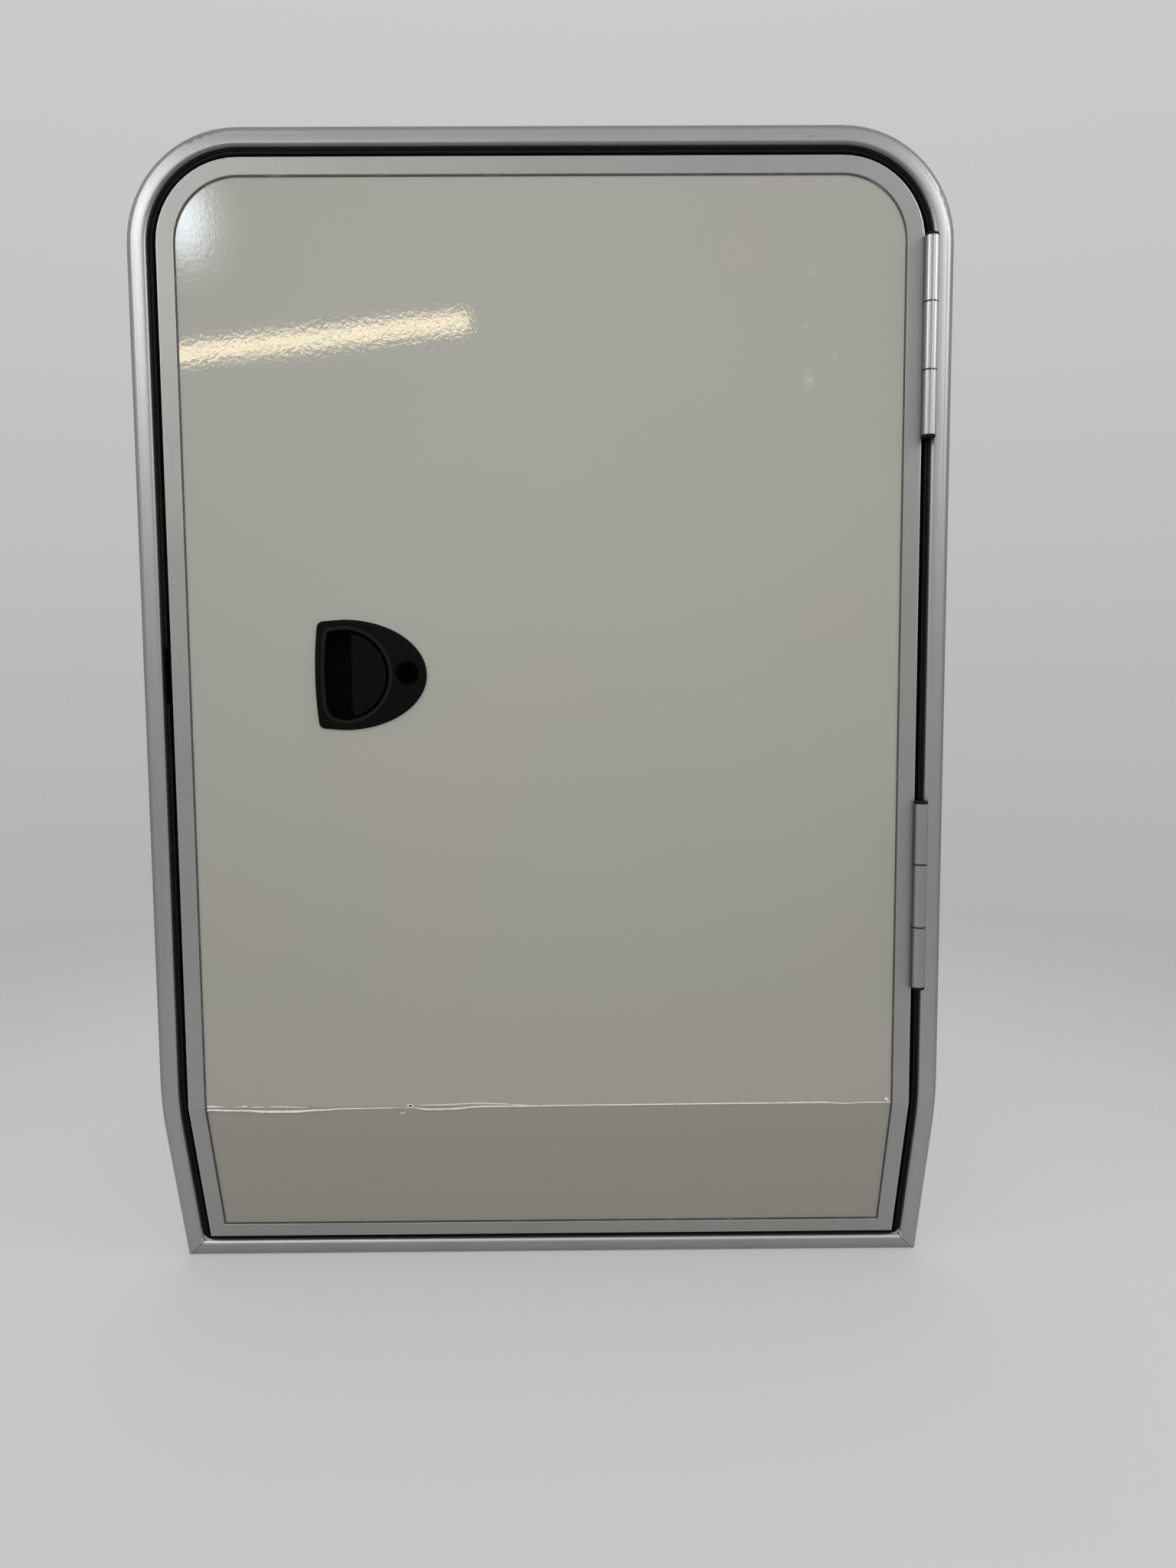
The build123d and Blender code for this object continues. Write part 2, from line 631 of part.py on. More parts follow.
def d_face(half, reach, left, upper_r, lower_r):
    """D outline: half an ellipse on the right, a slightly bowed side on the left."""
    corner_x = SIDE_BOW - left
    corner_z = half - SIDE_TAPER
    top = Line((BOW_CENTRE, half), (corner_x, corner_z))
    side = ThreePointArc((corner_x, corner_z), (-left, 0), (corner_x, -corner_z))
    bottom = Line((corner_x, -corner_z), (BOW_CENTRE, -half))
    bow = EllipticalCenterArc((BOW_CENTRE, 0), reach, half, start_angle=-90, arc_size=180)
    face = make_face([top, side, bottom, bow])
    lower, upper = face.vertices().group_by(Axis.X)[0].sort_by(Axis.Y)
    face = fillet(upper, upper_r)
    lower = face.vertices().sort_by_distance(lower)[0]
    return fillet(lower, lower_r)


def housing_face():
    return d_face(HOUSING_HALF, HOUSING_REACH, HOUSING_LEFT, HOUSING_CORNER_R, HOUSING_CORNER_R)


def pocket_face(grow=0.0):
    half = POCKET_HALF + grow
    return d_face(half, half, POCKET_LEFT + grow, POCKET_CORNER_R + grow, POCKET_LOWER_R + grow)


def handle_cutout():
    """Hole through the panel for the cup, the lock boss and the screw posts."""
    face = pocket_face(POCKET_WALL + CUTOUT_CLEARANCE)
    face += Pos(LOCK_X, LOCK_Z) * Circle(LOCK_BOSS_R + CUTOUT_CLEARANCE)
    for x, z in cover_screw_places():
        face += Pos(x, z) * Circle(COVER_POST_R + CUTOUT_CLEARANCE)
    return slab(face, PANEL_FRONT - OVERRUN, LEAF_REAR, HANDLE_X, HANDLE_Z)


def cover_screw_places():
    return [(x, side * z) for x, z in (COVER_SCREW_LEFT, COVER_SCREW_RIGHT) for side in (-1, 1)]


def handle_housing():
    rim = slab(housing_face(), HOUSING_FRONT, PANEL_FRONT, HANDLE_X, HANDLE_Z)
    rim = fillet(rim.faces().sort_by(Axis.Y)[0].edges(), HOUSING_EDGE_R)
    cup = slab(pocket_face(POCKET_WALL), PANEL_FRONT, POCKET_FLOOR + POCKET_WALL, HANDLE_X, HANDLE_Z)
    x = HANDLE_X + LOCK_X
    z = HANDLE_Z + LOCK_Z
    lock_floor = HOUSING_FRONT + LOCK_BORE_DEPTH
    boss = rod_y(LOCK_BOSS_R, PANEL_FRONT, lock_floor + POCKET_WALL, x, z)
    body = rim + cup + boss + pocket_rim()
    for px, pz in cover_screw_places():
        body += rod_y(COVER_POST_R, PANEL_FRONT, PANEL_REAR, HANDLE_X + px, HANDLE_Z + pz)
    body -= slab(pocket_face(), HOUSING_FRONT - OVERRUN, POCKET_FLOOR, HANDLE_X, HANDLE_Z)
    body -= rod_y(LOCK_BORE_R, HOUSING_FRONT, lock_floor, x, z)
    sink = Cone(LOCK_BORE_R, LOCK_SINK_R, LOCK_SINK_DEPTH)
    body -= Pos(x, HOUSING_FRONT + LOCK_SINK_DEPTH / 2, z) * Rot(90, 0, 0) * sink
    for px, pz in cover_screw_places():
        deep = LEAF_REAR - COVER_SCREW_LENGTH
        body -= rod_y(COVER_SCREW_R, deep, PANEL_REAR, HANDLE_X + px, HANDLE_Z + pz)
    reach = pin_reach()
    pin_x = HANDLE_X + PADDLE_PIN_X
    body -= rod_z(PADDLE_PIN_R + RUNNING_CLEARANCE, pin_x, PIN_Y, HANDLE_Z - reach, HANDLE_Z + reach)
    slot_x0 = HANDLE_X + CATCH_X - SLOT_TRAVEL - CATCH_WIDTH / 2
    slot_x1 = HANDLE_X + CATCH_X + CATCH_WIDTH / 2 + SLOT_CLEARANCE
    half = PADDLE_FIN_GAP / 2 + PADDLE_FIN_THICKNESS + SLOT_CLEARANCE
    floor = POCKET_FLOOR - OVERRUN
    under = POCKET_FLOOR + POCKET_WALL
    body -= block(slot_x0, slot_x1, floor, under, HANDLE_Z - half, HANDLE_Z + half)
    return body + gusset()


def pocket_rim():
    """Raised, rounded rim that frames the finger pocket."""
    top = HOUSING_FRONT - RIM_HEIGHT
    ring = slab(pocket_face(RIM_WIDTH) - pocket_face(), top, PANEL_FRONT, HANDLE_X, HANDLE_Z)
    return fillet(ring.faces().sort_by(Axis.Y)[0].edges(), RIM_EDGE_R)


def gusset():
    """Pointed web that stands on the lower wall of the finger pocket."""
    z = GUSSET_SUNK - POCKET_HALF
    foot = (GUSSET_X - GUSSET_HALF, z), (GUSSET_X + GUSSET_HALF, z)
    face = polygon(*foot, (GUSSET_X, z + GUSSET_HEIGHT))
    return slab(face, POCKET_FLOOR - GUSSET_THICKNESS, POCKET_FLOOR, HANDLE_X, HANDLE_Z)


def pin_reach():
    """Half length of the paddle pin: it ends inside the walls of the pocket."""
    offset = PADDLE_PIN_X - BOW_CENTRE
    return sqrt(POCKET_HALF**2 - offset**2) + POCKET_WALL


def paddle():
    face = pocket_face(-PADDLE_CLEARANCE)
    half_plane = Pos(PADDLE_LEFT + WIDTH / 2, 0) * Rectangle(WIDTH, WIDTH)
    face = face & half_plane
    face = fillet(face.vertices().group_by(Axis.X)[0], PADDLE_CORNER_R)
    back = PADDLE_FRONT + PADDLE_THICKNESS
    body = slab(face, PADDLE_FRONT, back, HANDLE_X, HANDLE_Z)
    left = HANDLE_X + PADDLE_LEFT
    lip_back = back + PADDLE_LIP_DEPTH
    body += block(
        left,
        left + PADDLE_LIP,
        back - OVERRUN,
        lip_back,
        HANDLE_Z - PADDLE_LIP_HALF,
        HANDLE_Z + PADDLE_LIP_HALF,
    )
    x = HANDLE_X + PADDLE_PIN_X
    offset = PADDLE_PIN_X - BOW_CENTRE + PADDLE_BARREL_R
    reach = sqrt(POCKET_HALF**2 - offset**2) - PADDLE_CLEARANCE
    body += rod_z(PADDLE_BARREL_R, x, PIN_Y, HANDLE_Z - reach, HANDLE_Z + reach)
    gap = SPRING_GAP / 2
    hollow = spring_radius() + SPRING_WIRE_R + SPRING_CLEARANCE
    body -= rod_z(hollow, x, PIN_Y, HANDLE_Z - gap, HANDLE_Z + gap)
    body -= block(x - hollow, x + hollow, PIN_Y, back + PADDLE_BARREL_R, HANDLE_Z - gap, HANDLE_Z + gap)
    for side in (-1, 1):
        z = HANDLE_Z + side * (PADDLE_FIN_GAP + PADDLE_FIN_THICKNESS) / 2
        body += fin(z - PADDLE_FIN_THICKNESS / 2, z + PADDLE_FIN_THICKNESS / 2)
    bore = pin_reach()
    return body - rod_z(PADDLE_PIN_R + RUNNING_CLEARANCE, x, PIN_Y, HANDLE_Z - bore, HANDLE_Z + bore)


def fin(z0, z1):
    """Tail under the paddle beside the catch of the bolt rod."""
    back = PADDLE_FRONT + PADDLE_THICKNESS
    root = back - OVERRUN
    x = HANDLE_X + PADDLE_LEFT + PADDLE_LIP + FIN_SETBACK
    end = POCKET_FLOOR - FIN_FLOOR_GAP
    points = [(x, root), (x + FIN_ROOT, root), (x + FIN_TIP_END, end), (x + FIN_TIP_START, end)]
    plane = Plane(origin=(0, 0, z0), x_dir=(1, 0, 0), z_dir=(0, 0, 1))
    return extrude(plane * make_face(Polyline(*points, close=True)), amount=z1 - z0)


def coil(radius, wire, length, turns):
    """Helical spring along z, centred on the origin, made turn by turn."""
    pitch = (length - 2 * wire) / turns
    path = Helix(pitch, pitch, radius)
    turn = sweep(Plane(origin=path @ 0, z_dir=path % 0) * RegularPolygon(wire, WIRE_SIDES), path=path)
    spring = turn
    for step in range(1, turns):
        spring += Pos(0, 0, step * pitch) * turn
    return Pos(0, 0, -pitch * turns / 2) * spring


def spring_radius():
    return PADDLE_PIN_R + SPRING_CLEARANCE + SPRING_WIRE_R


def paddle_spring():
    length = SPRING_GAP - 4 * SPRING_CLEARANCE
    spring = coil(spring_radius(), SPRING_WIRE_R, length, SPRING_COILS)
    return Pos(HANDLE_X + PADDLE_PIN_X, PIN_Y, HANDLE_Z) * spring


def latch_bolt():
    y0 = BOLT_AXIS_DEPTH - BOLT_THICKNESS / 2
    y1 = BOLT_AXIS_DEPTH + BOLT_THICKNESS / 2
    tip = [
        (BOLT_TIP_X, y0),
        (BOLT_BACK_X, y0),
        (BOLT_BACK_X, y1),
        (BOLT_TIP_X + BOLT_BEVEL, y1),
        (BOLT_TIP_X, y1 - BOLT_BEVEL),
    ]
    z = HANDLE_Z - BOLT_HEIGHT / 2
    plane = Plane(origin=(0, 0, z), x_dir=(1, 0, 0), z_dir=(0, 0, 1))
    bolt = extrude(plane * make_face(Polyline(*tip, close=True)), amount=BOLT_HEIGHT)
    catch = HANDLE_X + CATCH_X
    bolt += rod_x(ROD_R, BOLT_BACK_X, catch, rod_depth(), HANDLE_Z)
    collar = BOLT_BACK_X + COLLAR_FROM_BOLT
    bolt += rod_x(COLLAR_R, collar, collar + COLLAR_LENGTH, rod_depth(), HANDLE_Z)
    half_z = PADDLE_FIN_GAP / 2 - CATCH_CLEARANCE
    half_x = CATCH_WIDTH / 2
    back = rod_depth() + ROD_R
    x0 = catch - half_x
    x1 = catch + half_x
    return bolt + block(x0, x1, CATCH_FRONT, back, HANDLE_Z - half_z, HANDLE_Z + half_z)


def rod_depth():
    """Rod axis: it passes behind the floor of the pocket."""
    return POCKET_FLOOR + POCKET_WALL + ROD_R + ROD_CLEARANCE


def rod_channel():
    """Way through the core for the bolt, its guide and the sprung rod."""
    x0 = -WIDTH / 2 + PANEL_U
    x1 = HANDLE_X - POCKET_LEFT - POCKET_WALL
    guide = guide_block(CUTOUT_CLEARANCE)
    depth = rod_depth()
    half = CHANNEL_HALF
    rod = block(x0, x1, depth - half, depth + half, HANDLE_Z - half, HANDLE_Z + half)
    return guide + rod + bolt_passage(x0, BOLT_BACK_X + OVERRUN)


def guide_block(grow=0.0):
    x0 = LEAF_EDGE_X + LEAF_WEB - grow
    x1 = LEAF_EDGE_X + LEAF_WEB + GUIDE_LENGTH + grow
    return bolt_passage(x0, x1, GUIDE_WALL + grow)


def bolt_guide():
    return guide_block() - bolt_passage(LEAF_EDGE_X, BOLT_BACK_X)


def bolt_spring():
    """Compression spring between the collar of the rod and its stop."""
    x = BOLT_BACK_X + COLLAR_FROM_BOLT + COLLAR_LENGTH
    spring = coil(BOLT_SPRING_R, BOLT_SPRING_WIRE_R, BOLT_SPRING_LENGTH, BOLT_SPRING_COILS)
    return Pos(x + BOLT_SPRING_LENGTH / 2, rod_depth(), HANDLE_Z) * Rot(0, 90, 0) * spring


def spring_stop():
    """Small bush in the core that the spring bears on and the rod slides through."""
    x = BOLT_BACK_X + COLLAR_FROM_BOLT + COLLAR_LENGTH + BOLT_SPRING_LENGTH
    depth = rod_depth()
    half = CHANNEL_HALF
    x1 = x + STOP_THICKNESS
    bush = block(x, x1, depth - half, depth + half, HANDLE_Z - half, HANDLE_Z + half)
    return bush - rod_x(ROD_R + BOLT_CLEARANCE, x, x1, depth, HANDLE_Z)


def keeper_screw_depth():
    return KEEPER_DEPTH + KEEPER_NOSE_THICKNESS / 2


def keeper_screw_heights():
    return [HANDLE_Z - KEEPER_SCREW_PITCH / 2, HANDLE_Z + KEEPER_SCREW_PITCH / 2]


def keeper():
    """Plate on the left frame wall with a nose that the bolt hooks behind."""
    x = -WIDTH / 2 + WALL_U
    nose_back = BOLT_AXIS_DEPTH - BOLT_THICKNESS / 2 - BOLT_CLEARANCE
    nose_front = nose_back - KEEPER_NOSE_THICKNESS
    plate_front = keeper_screw_depth() - KEEPER_DEPTH / 2
    plate_back = keeper_screw_depth() + KEEPER_DEPTH / 2
    half = KEEPER_HEIGHT / 2
    plate = block(x, x + KEEPER_PLATE, plate_front, plate_back, HANDLE_Z - half, HANDLE_Z + half)
    tall = KEEPER_NOSE_HEIGHT / 2
    plate += block(x, x + KEEPER_NOSE, nose_front, nose_back, HANDLE_Z - tall, HANDLE_Z + tall)
    for z in keeper_screw_heights():
        plate -= rod_x(KEEPER_SCREW_R, x, x + KEEPER_PLATE, keeper_screw_depth(), z)
    return plate


def keeper_screws():
    x = -WIDTH / 2 + WALL_U + KEEPER_PLATE
    screws = []
    for z in keeper_screw_heights():
        shank = rod_x(KEEPER_SCREW_R - RUNNING_CLEARANCE, x - KEEPER_SCREW_LENGTH, x, keeper_screw_depth(), z)
        head = rod_x(KEEPER_SCREW_HEAD_R, x, x + KEEPER_PLATE, keeper_screw_depth(), z)
        screws.append(shank + head)
    return screws


def latch_cover():
    face = RectangleRounded(COVER_WIDTH, COVER_HEIGHT, COVER_CORNER_R)
    cover = slab(face, PANEL_REAR, PANEL_REAR + COVER_THICKNESS, HANDLE_X, HANDLE_Z)
    for x, z in cover_screw_places():
        cover -= rod_y(COVER_SCREW_R, PANEL_REAR, PANEL_REAR + COVER_THICKNESS, HANDLE_X + x, HANDLE_Z + z)
    return cover


def cover_screws():
    back = PANEL_REAR + COVER_THICKNESS
    screws = []
    for x, z in cover_screw_places():
        front = back - COVER_SCREW_LENGTH
        shank = rod_y(COVER_SCREW_R - RUNNING_CLEARANCE, front, back, HANDLE_X + x, HANDLE_Z + z)
        head = rod_y(COVER_SCREW_HEAD_R, back, back + COVER_SCREW_HEAD, HANDLE_X + x, HANDLE_Z + z)
        head = chamfer(head.edges().sort_by(Axis.Y)[-1], COVER_SCREW_CHAMFER)
        screws.append(shank + head)
    return screws


def fold_bead():
    """Hand-run bead along the fold: thick and wavy on the left, thin on the right."""
    half = WIDTH / 2 - SEAL_U - EDGE_SEAL_WIDTH
    rings = []
    for station in range(BEAD_STATIONS):
        along = station / (BEAD_STATIONS - 1)
        taper = 1 / (1 + (along / BEAD_THICK_SHARE) ** BEAD_TAPER_POWER)
        radius = BEAD_THIN_R + (BEAD_R - BEAD_THIN_R) * taper
        wave = BEAD_WAVE * sin(BEAD_WAVE_TURN * along) * taper
        place = Plane(origin=(-half + 2 * half * along, PANEL_FRONT, wave), z_dir=(1, 0, 0))
        rings.append(place * Circle(radius))
    bead = loft(rings)
    return bead - upper_sheet(PANEL_FRONT, PANEL_REAR) - lower_sheet(PANEL_FRONT, PANEL_REAR)


def paddle_pin():
    reach = pin_reach()
    x = HANDLE_X + PADDLE_PIN_X
    return rod_z(PADDLE_PIN_R, x, PIN_Y, HANDLE_Z - reach, HANDLE_Z + reach)


def screw_ways():
    """Clearance in the core for the ends of the hinge screws."""
    x = WIDTH / 2 - LEAF_U + HINGE_PLATE - HINGE_SCREW_LENGTH - CUTOUT_CLEARANCE
    edge = WIDTH / 2 - PANEL_U
    ways = []
    for centre in HINGE_CENTRES.values():
        for z in hinge_screw_heights(centre):
            ways.append(rod_x(HINGE_SCREW_R + CUTOUT_CLEARANCE, x, edge, HINGE_SCREW_DEPTH, z))
    return ways


def upper_core(front, back):
    core = upper_sheet(front, back) - rod_channel()
    for way in screw_ways():
        core -= way
    return core


def lower_core(front, back):
    corner = cleat(CLEAT_CLEARANCE)
    return lower_sheet(front, back) - corner - mirror(corner, about=Plane.YZ)


def write(name, shape):
    """One file per piece, moved to the origin at the middle of the clamp screws."""
    shapes = shape if isinstance(shape, list) else [shape]
    moved = [ORIGIN * solid for piece in shapes for solid in piece.solids()]
    whole = moved[0] if len(moved) == 1 else Compound(children=moved)
    export_step(whole, f"parts/{name}.step")


def build():
    os.makedirs("parts", exist_ok=True)
    inner_wall = WIDTH / 2 - WALL_U
    leaf_edge = WIDTH / 2 - LEAF_U
    core_front = PANEL_FRONT + SKIN
    core_back = PANEL_REAR - SKIN
    hole = handle_cutout()
    pieces = {
        "outer_frame": outer_frame(),
        "outer_frame_sill": sill(frame_profile()),
        "frame_bracket_left": corner_bracket(),
        "frame_bracket_right": mirror(corner_bracket(), about=Plane.YZ),
        "frame_insert_left": corner_insert(),
        "frame_insert_right": mirror(corner_insert(), about=Plane.YZ),
        "frame_gasket": frame_gasket(),
        "keeper": keeper(),
        "keeper_screws": keeper_screws(),
        "hinge_screws_frame": hinge_screws(inner_wall - HINGE_PLATE, 1),
        "hinge_screws_leaf": hinge_screws(leaf_edge + HINGE_PLATE, -1),
        "leaf_frame": leaf_frame(),
        "leaf_sill": sill(leaf_profile()),
        "leaf_cleat_left": cleat(),
        "leaf_cleat_right": mirror(cleat(), about=Plane.YZ),
        "upper_outer_skin": upper_sheet(PANEL_FRONT, core_front) - hole,
        "lower_outer_skin": lower_sheet(PANEL_FRONT, core_front),
        "upper_core": upper_core(core_front, core_back) - hole,
        "lower_core": lower_core(core_front, core_back),
        "upper_inner_skin": upper_sheet(core_back, PANEL_REAR) - hole,
        "lower_inner_skin": lower_sheet(core_back, PANEL_REAR),
        "edge_seal": notched_arch(edge_seal_profile()) + sill(edge_seal_profile()),
        "fold_sealant": fold_bead(),
        "handle_housing": handle_housing(),
        "paddle": paddle(),
        "paddle_pin": paddle_pin(),
        "paddle_spring": paddle_spring(),
        "latch_bolt": latch_bolt(),
        "bolt_guide": bolt_guide(),
        "bolt_spring": bolt_spring(),
        "spring_stop": spring_stop(),
        "latch_cover": latch_cover(),
        "cover_screws": cover_screws(),
    }
    for name, centre in HINGE_CENTRES.items():
        pieces[f"{name}_hinge_frame_plate"] = hinge_frame_plate(centre)
        pieces[f"{name}_hinge_leaf_plate"] = hinge_leaf_plate(centre)
        pieces[f"{name}_hinge_pin"] = hinge_pin(centre)
        pieces[f"{name}_hinge_caps"] = hinge_caps(centre)
        pieces[f"{name}_hinge_washers"] = hinge_washers(centre)
    for name, shape in pieces.items():
        write(name, shape)


build()
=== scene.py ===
import json
import math

import bmesh
import bpy
from mathutils import Matrix, Vector

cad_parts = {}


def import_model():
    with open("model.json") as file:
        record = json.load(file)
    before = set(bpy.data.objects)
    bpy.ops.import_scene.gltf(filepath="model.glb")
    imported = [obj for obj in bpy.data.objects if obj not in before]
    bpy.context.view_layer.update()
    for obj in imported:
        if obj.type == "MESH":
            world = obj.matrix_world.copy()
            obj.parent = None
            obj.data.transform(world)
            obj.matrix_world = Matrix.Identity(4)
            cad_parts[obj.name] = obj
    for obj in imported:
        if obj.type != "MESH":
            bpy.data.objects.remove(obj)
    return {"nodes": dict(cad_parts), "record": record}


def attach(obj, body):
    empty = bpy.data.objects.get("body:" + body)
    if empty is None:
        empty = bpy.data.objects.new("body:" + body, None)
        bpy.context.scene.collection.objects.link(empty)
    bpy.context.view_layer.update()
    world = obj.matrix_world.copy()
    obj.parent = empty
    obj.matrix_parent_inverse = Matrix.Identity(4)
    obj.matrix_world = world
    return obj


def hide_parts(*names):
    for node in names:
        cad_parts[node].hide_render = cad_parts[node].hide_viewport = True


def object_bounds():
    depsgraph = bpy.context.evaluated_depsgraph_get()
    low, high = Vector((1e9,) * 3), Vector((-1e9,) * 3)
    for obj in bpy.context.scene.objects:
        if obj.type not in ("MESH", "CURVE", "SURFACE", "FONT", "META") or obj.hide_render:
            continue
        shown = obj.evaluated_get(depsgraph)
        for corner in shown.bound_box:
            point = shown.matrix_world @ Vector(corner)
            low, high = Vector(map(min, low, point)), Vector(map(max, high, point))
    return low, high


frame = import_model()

# Blender's own start objects aren't part of the scene
for start_object in ("Cube", "Light", "Camera"):
    if start_object in bpy.data.objects:
        bpy.data.objects.remove(bpy.data.objects[start_object])

CAD_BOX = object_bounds()
MM = 0.001

# Places of the door in the shared frame, in millimetres
FRAME_DEPTH = 33.0
FOLD_Z = -400.0
FOLD_ANGLE = math.radians(18.7)
PANEL_Y = 0.4 - FRAME_DEPTH
LEAF_Y = -1.0 - FRAME_DEPTH
FACE_Y = -FRAME_DEPTH
HALF_WIDTH = 350.0
LOWER_LENGTH = 177.0

# Camera of the photograph
PHOTO_LONG_SIDE = 2048
PHOTO_CENTRE = (768, 1024)
FOCAL_PX = 1500.0
SENSOR = 36.0
CAMERA_AT = Vector((0.03113, -1.03878, -0.01978))
CAMERA_YAW = -0.3232
CAMERA_PITCH = -5.0886
CAMERA_ROLL = -0.3577

# Reflections on the gloss panel, by the pixels of the photograph where they start and end
TUBE_LEFT_PX = (230, 463)
TUBE_RIGHT_PX = (612, 419)
TUBE_DISTANCE = 2.2
TUBE_OVERHANG = 1.08
TUBE_THICKNESS_PX = 18
TUBE_RADIANCE = 16.0
WINDOW_PX = (238, 284)
WINDOW_DISTANCE = 2.0
WINDOW_CORE_PX = (26, 42)
WINDOW_HALO_PX = (75, 95)
WINDOW_CORE_RADIANCE = 7.0
WINDOW_HALO_RADIANCE = 9.5
WINDOW_CORE_FADE = (0.55, 1.35)
TUBE_COLOR = (1.0, 0.82, 0.5)
WINDOW_COLOR = (0.81, 0.91, 1.0)
TUBE_AIM = (-180, PANEL_Y, 270)
WINDOW_AIM = (-300, PANEL_Y, 350)

# Plain lamps: place and aim in metres, size in metres, power, and whether metal and gloss reflect them
LAMPS = {
    "key": ((0.03, -0.9, 0.19), (0.03, 0, 0.19), (0.8, 0.6), 3.45, False),
    "back": ((-0.2, 1.5, 0.7), (0, 0, 0.1), (1.2, 1.0), 3.0, False),
    "left_box": ((-1.78, -1.33, 1.3), (-0.34, -0.03, 0.35), (0.7, 1.1), 10.5, True),
    "right_box": ((2.05, -0.94, 1.3), (0.34, -0.03, 0.35), (0.9, 1.3), 13.5, True),
}

# Brightness of the room by height, as sine of the elevation and level: in front of the door, and behind it
ROOM_FRONT = [
    (-1.0, 0.36), (-0.3, 0.40), (0.0, 0.55), (0.12, 0.65),
    (0.25, 0.76), (0.42, 0.82), (0.7, 0.8), (1.0, 0.66),
]
ROOM_BACK = [(-1.0, 0.40), (-0.3, 0.42), (0.0, 0.49), (0.25, 0.55), (0.5, 0.6), (1.0, 0.6)]
ROOM_BLEND = 0.25

SILVER = (0.4, 0.4, 0.4)
LEAF_SILVER = (0.38, 0.38, 0.373)
PANEL_GREENISH = (0.306, 0.313, 0.277)
PANEL_PINKISH = (0.318, 0.305, 0.272)
BLACK = (0.0016, 0.0016, 0.0018)

# Greys of the marks, the painted shade and the painted highlights on metal
TOP_EDGE_SHADE_GREY = (0.06, 0.06, 0.06)
SILL_LIP_HIGHLIGHT_GREY = (0.62, 0.62, 0.62)
MITRE_GREY = (0.08, 0.08, 0.08)
LEAF_EDGE_HIGHLIGHT_GREY = (0.6, 0.6, 0.6)
JOIN_DIRT_AND_SHADE_GREY = (0.02, 0.02, 0.02)
HINGE_PLATE_SHADE_GREY = (0.1, 0.1, 0.1)
BARREL_HIGHLIGHT_GREY = (0.78, 0.78, 0.78)

# Range that most of a noise's values lie in
NOISE_LOW = 0.3
NOISE_HIGH = 0.7

# Outline of the outer frame, in millimetres
CORNER_R = 96.0
TOP_Z = FOLD_Z + 845.0

# Crown of the frame's face: reach in millimetres, slope at the outline, and the power that eases it to none
CROWN_REACH = 16.5
CROWN_SLOPE = 0.4
CROWN_EASE = 2.5

# Bands where a mark, a painted shade or a painted highlight fades in or out, in millimetres: inwards from the
# outline, except that the sill's highlight and mitres end by the height above the bottom edge, and the mitre
# is measured to either side of its line
TOP_EDGE_SHADE_BAND = (13.2, 16.0)
SILL_LIP_HIGHLIGHT_BAND = (14.2, 15.6)
LEAF_EDGE_HIGHLIGHT_BAND = (25.8, 26.7)
SILL_MARKS_END = (20.0, 22.0)
MITRE_BAND = (0.22, 0.484)
RIB_PITCH = 2.1

# Height band of the top rail's painted shade, height band where the panel turns warmer, and the depths
# between which the handle's recess turns dull and darker with painted shade and its rim lighter with a
# painted highlight
TOP_EDGE_SHADE_HEIGHTS = (TOP_Z - CORNER_R, TOP_Z - 30.0)
WARMER_HEIGHTS = (-100.0, -420.0)
RECESS_DEPTHS = (PANEL_Y - 1.6, PANEL_Y - 0.4)
RIM_DEPTHS = (PANEL_Y - 2.9, PANEL_Y - 3.1)

# Rubbed marks on the panel: x and height above the fold, size in millimetres, and strength
RUBBED_MARKS = [
    ((227.9, 635.2), (5.0, 9.0, 9.0), 0.35),
    ((224.2, 679.6), (1.6, 4.0, 2.6), 0.4),
    ((228.9, 723.6), (7.0, 9.0, 4.0), 0.16),
    ((249.0, 655.0), (2.6, 6.0, 6.5), 0.16),
]

# Hinges, in millimetres: middles, half the middle knuckle, edge of the barrel where the painted shade on the
# plates ends, heights over which the painted highlight lines set in, x and half width of those lines, and
# dirt with painted shade to either side of a join between two knuckles
HINGE_MIDDLES = (FOLD_Z + 669.6, FOLD_Z + 190.2)
KNUCKLE_SPLIT = 28.0
BARREL_EDGE_BAND = (322.7, 323.9)
BARREL_HIGHLIGHT_HEIGHTS = (FOLD_Z + 300, FOLD_Z + 520)
BARREL_HIGHLIGHT_LINES = ((329.2, 0.55), (332.4, 0.45))
JOIN_DIRT_AND_SHADE_BAND = (0.4, 1.1)

# Burst bubble in the sealant: x and height above the fold, and the two radii of its ring, in millimetres
SPOT_PLACE = (-125.1, 0.6)
SPOT_RING = (2.3, 1.3)


def mm(x, y, z):
    """A point given in millimetres of the shared frame."""
    return Vector((x, y, z)) * MM


def on_front(x, z, proud=0.0):
    """Point on the panel's front: x across, z along the surface from the fold, both in millimetres."""
    if z >= 0:
        return mm(x, PANEL_Y - proud, FOLD_Z + z)
    down = Vector((0, math.sin(FOLD_ANGLE), -math.cos(FOLD_ANGLE))) * -z
    out = Vector((0, -math.cos(FOLD_ANGLE), -math.sin(FOLD_ANGLE))) * proud
    return mm(x, PANEL_Y, FOLD_Z) + (down + out) * MM


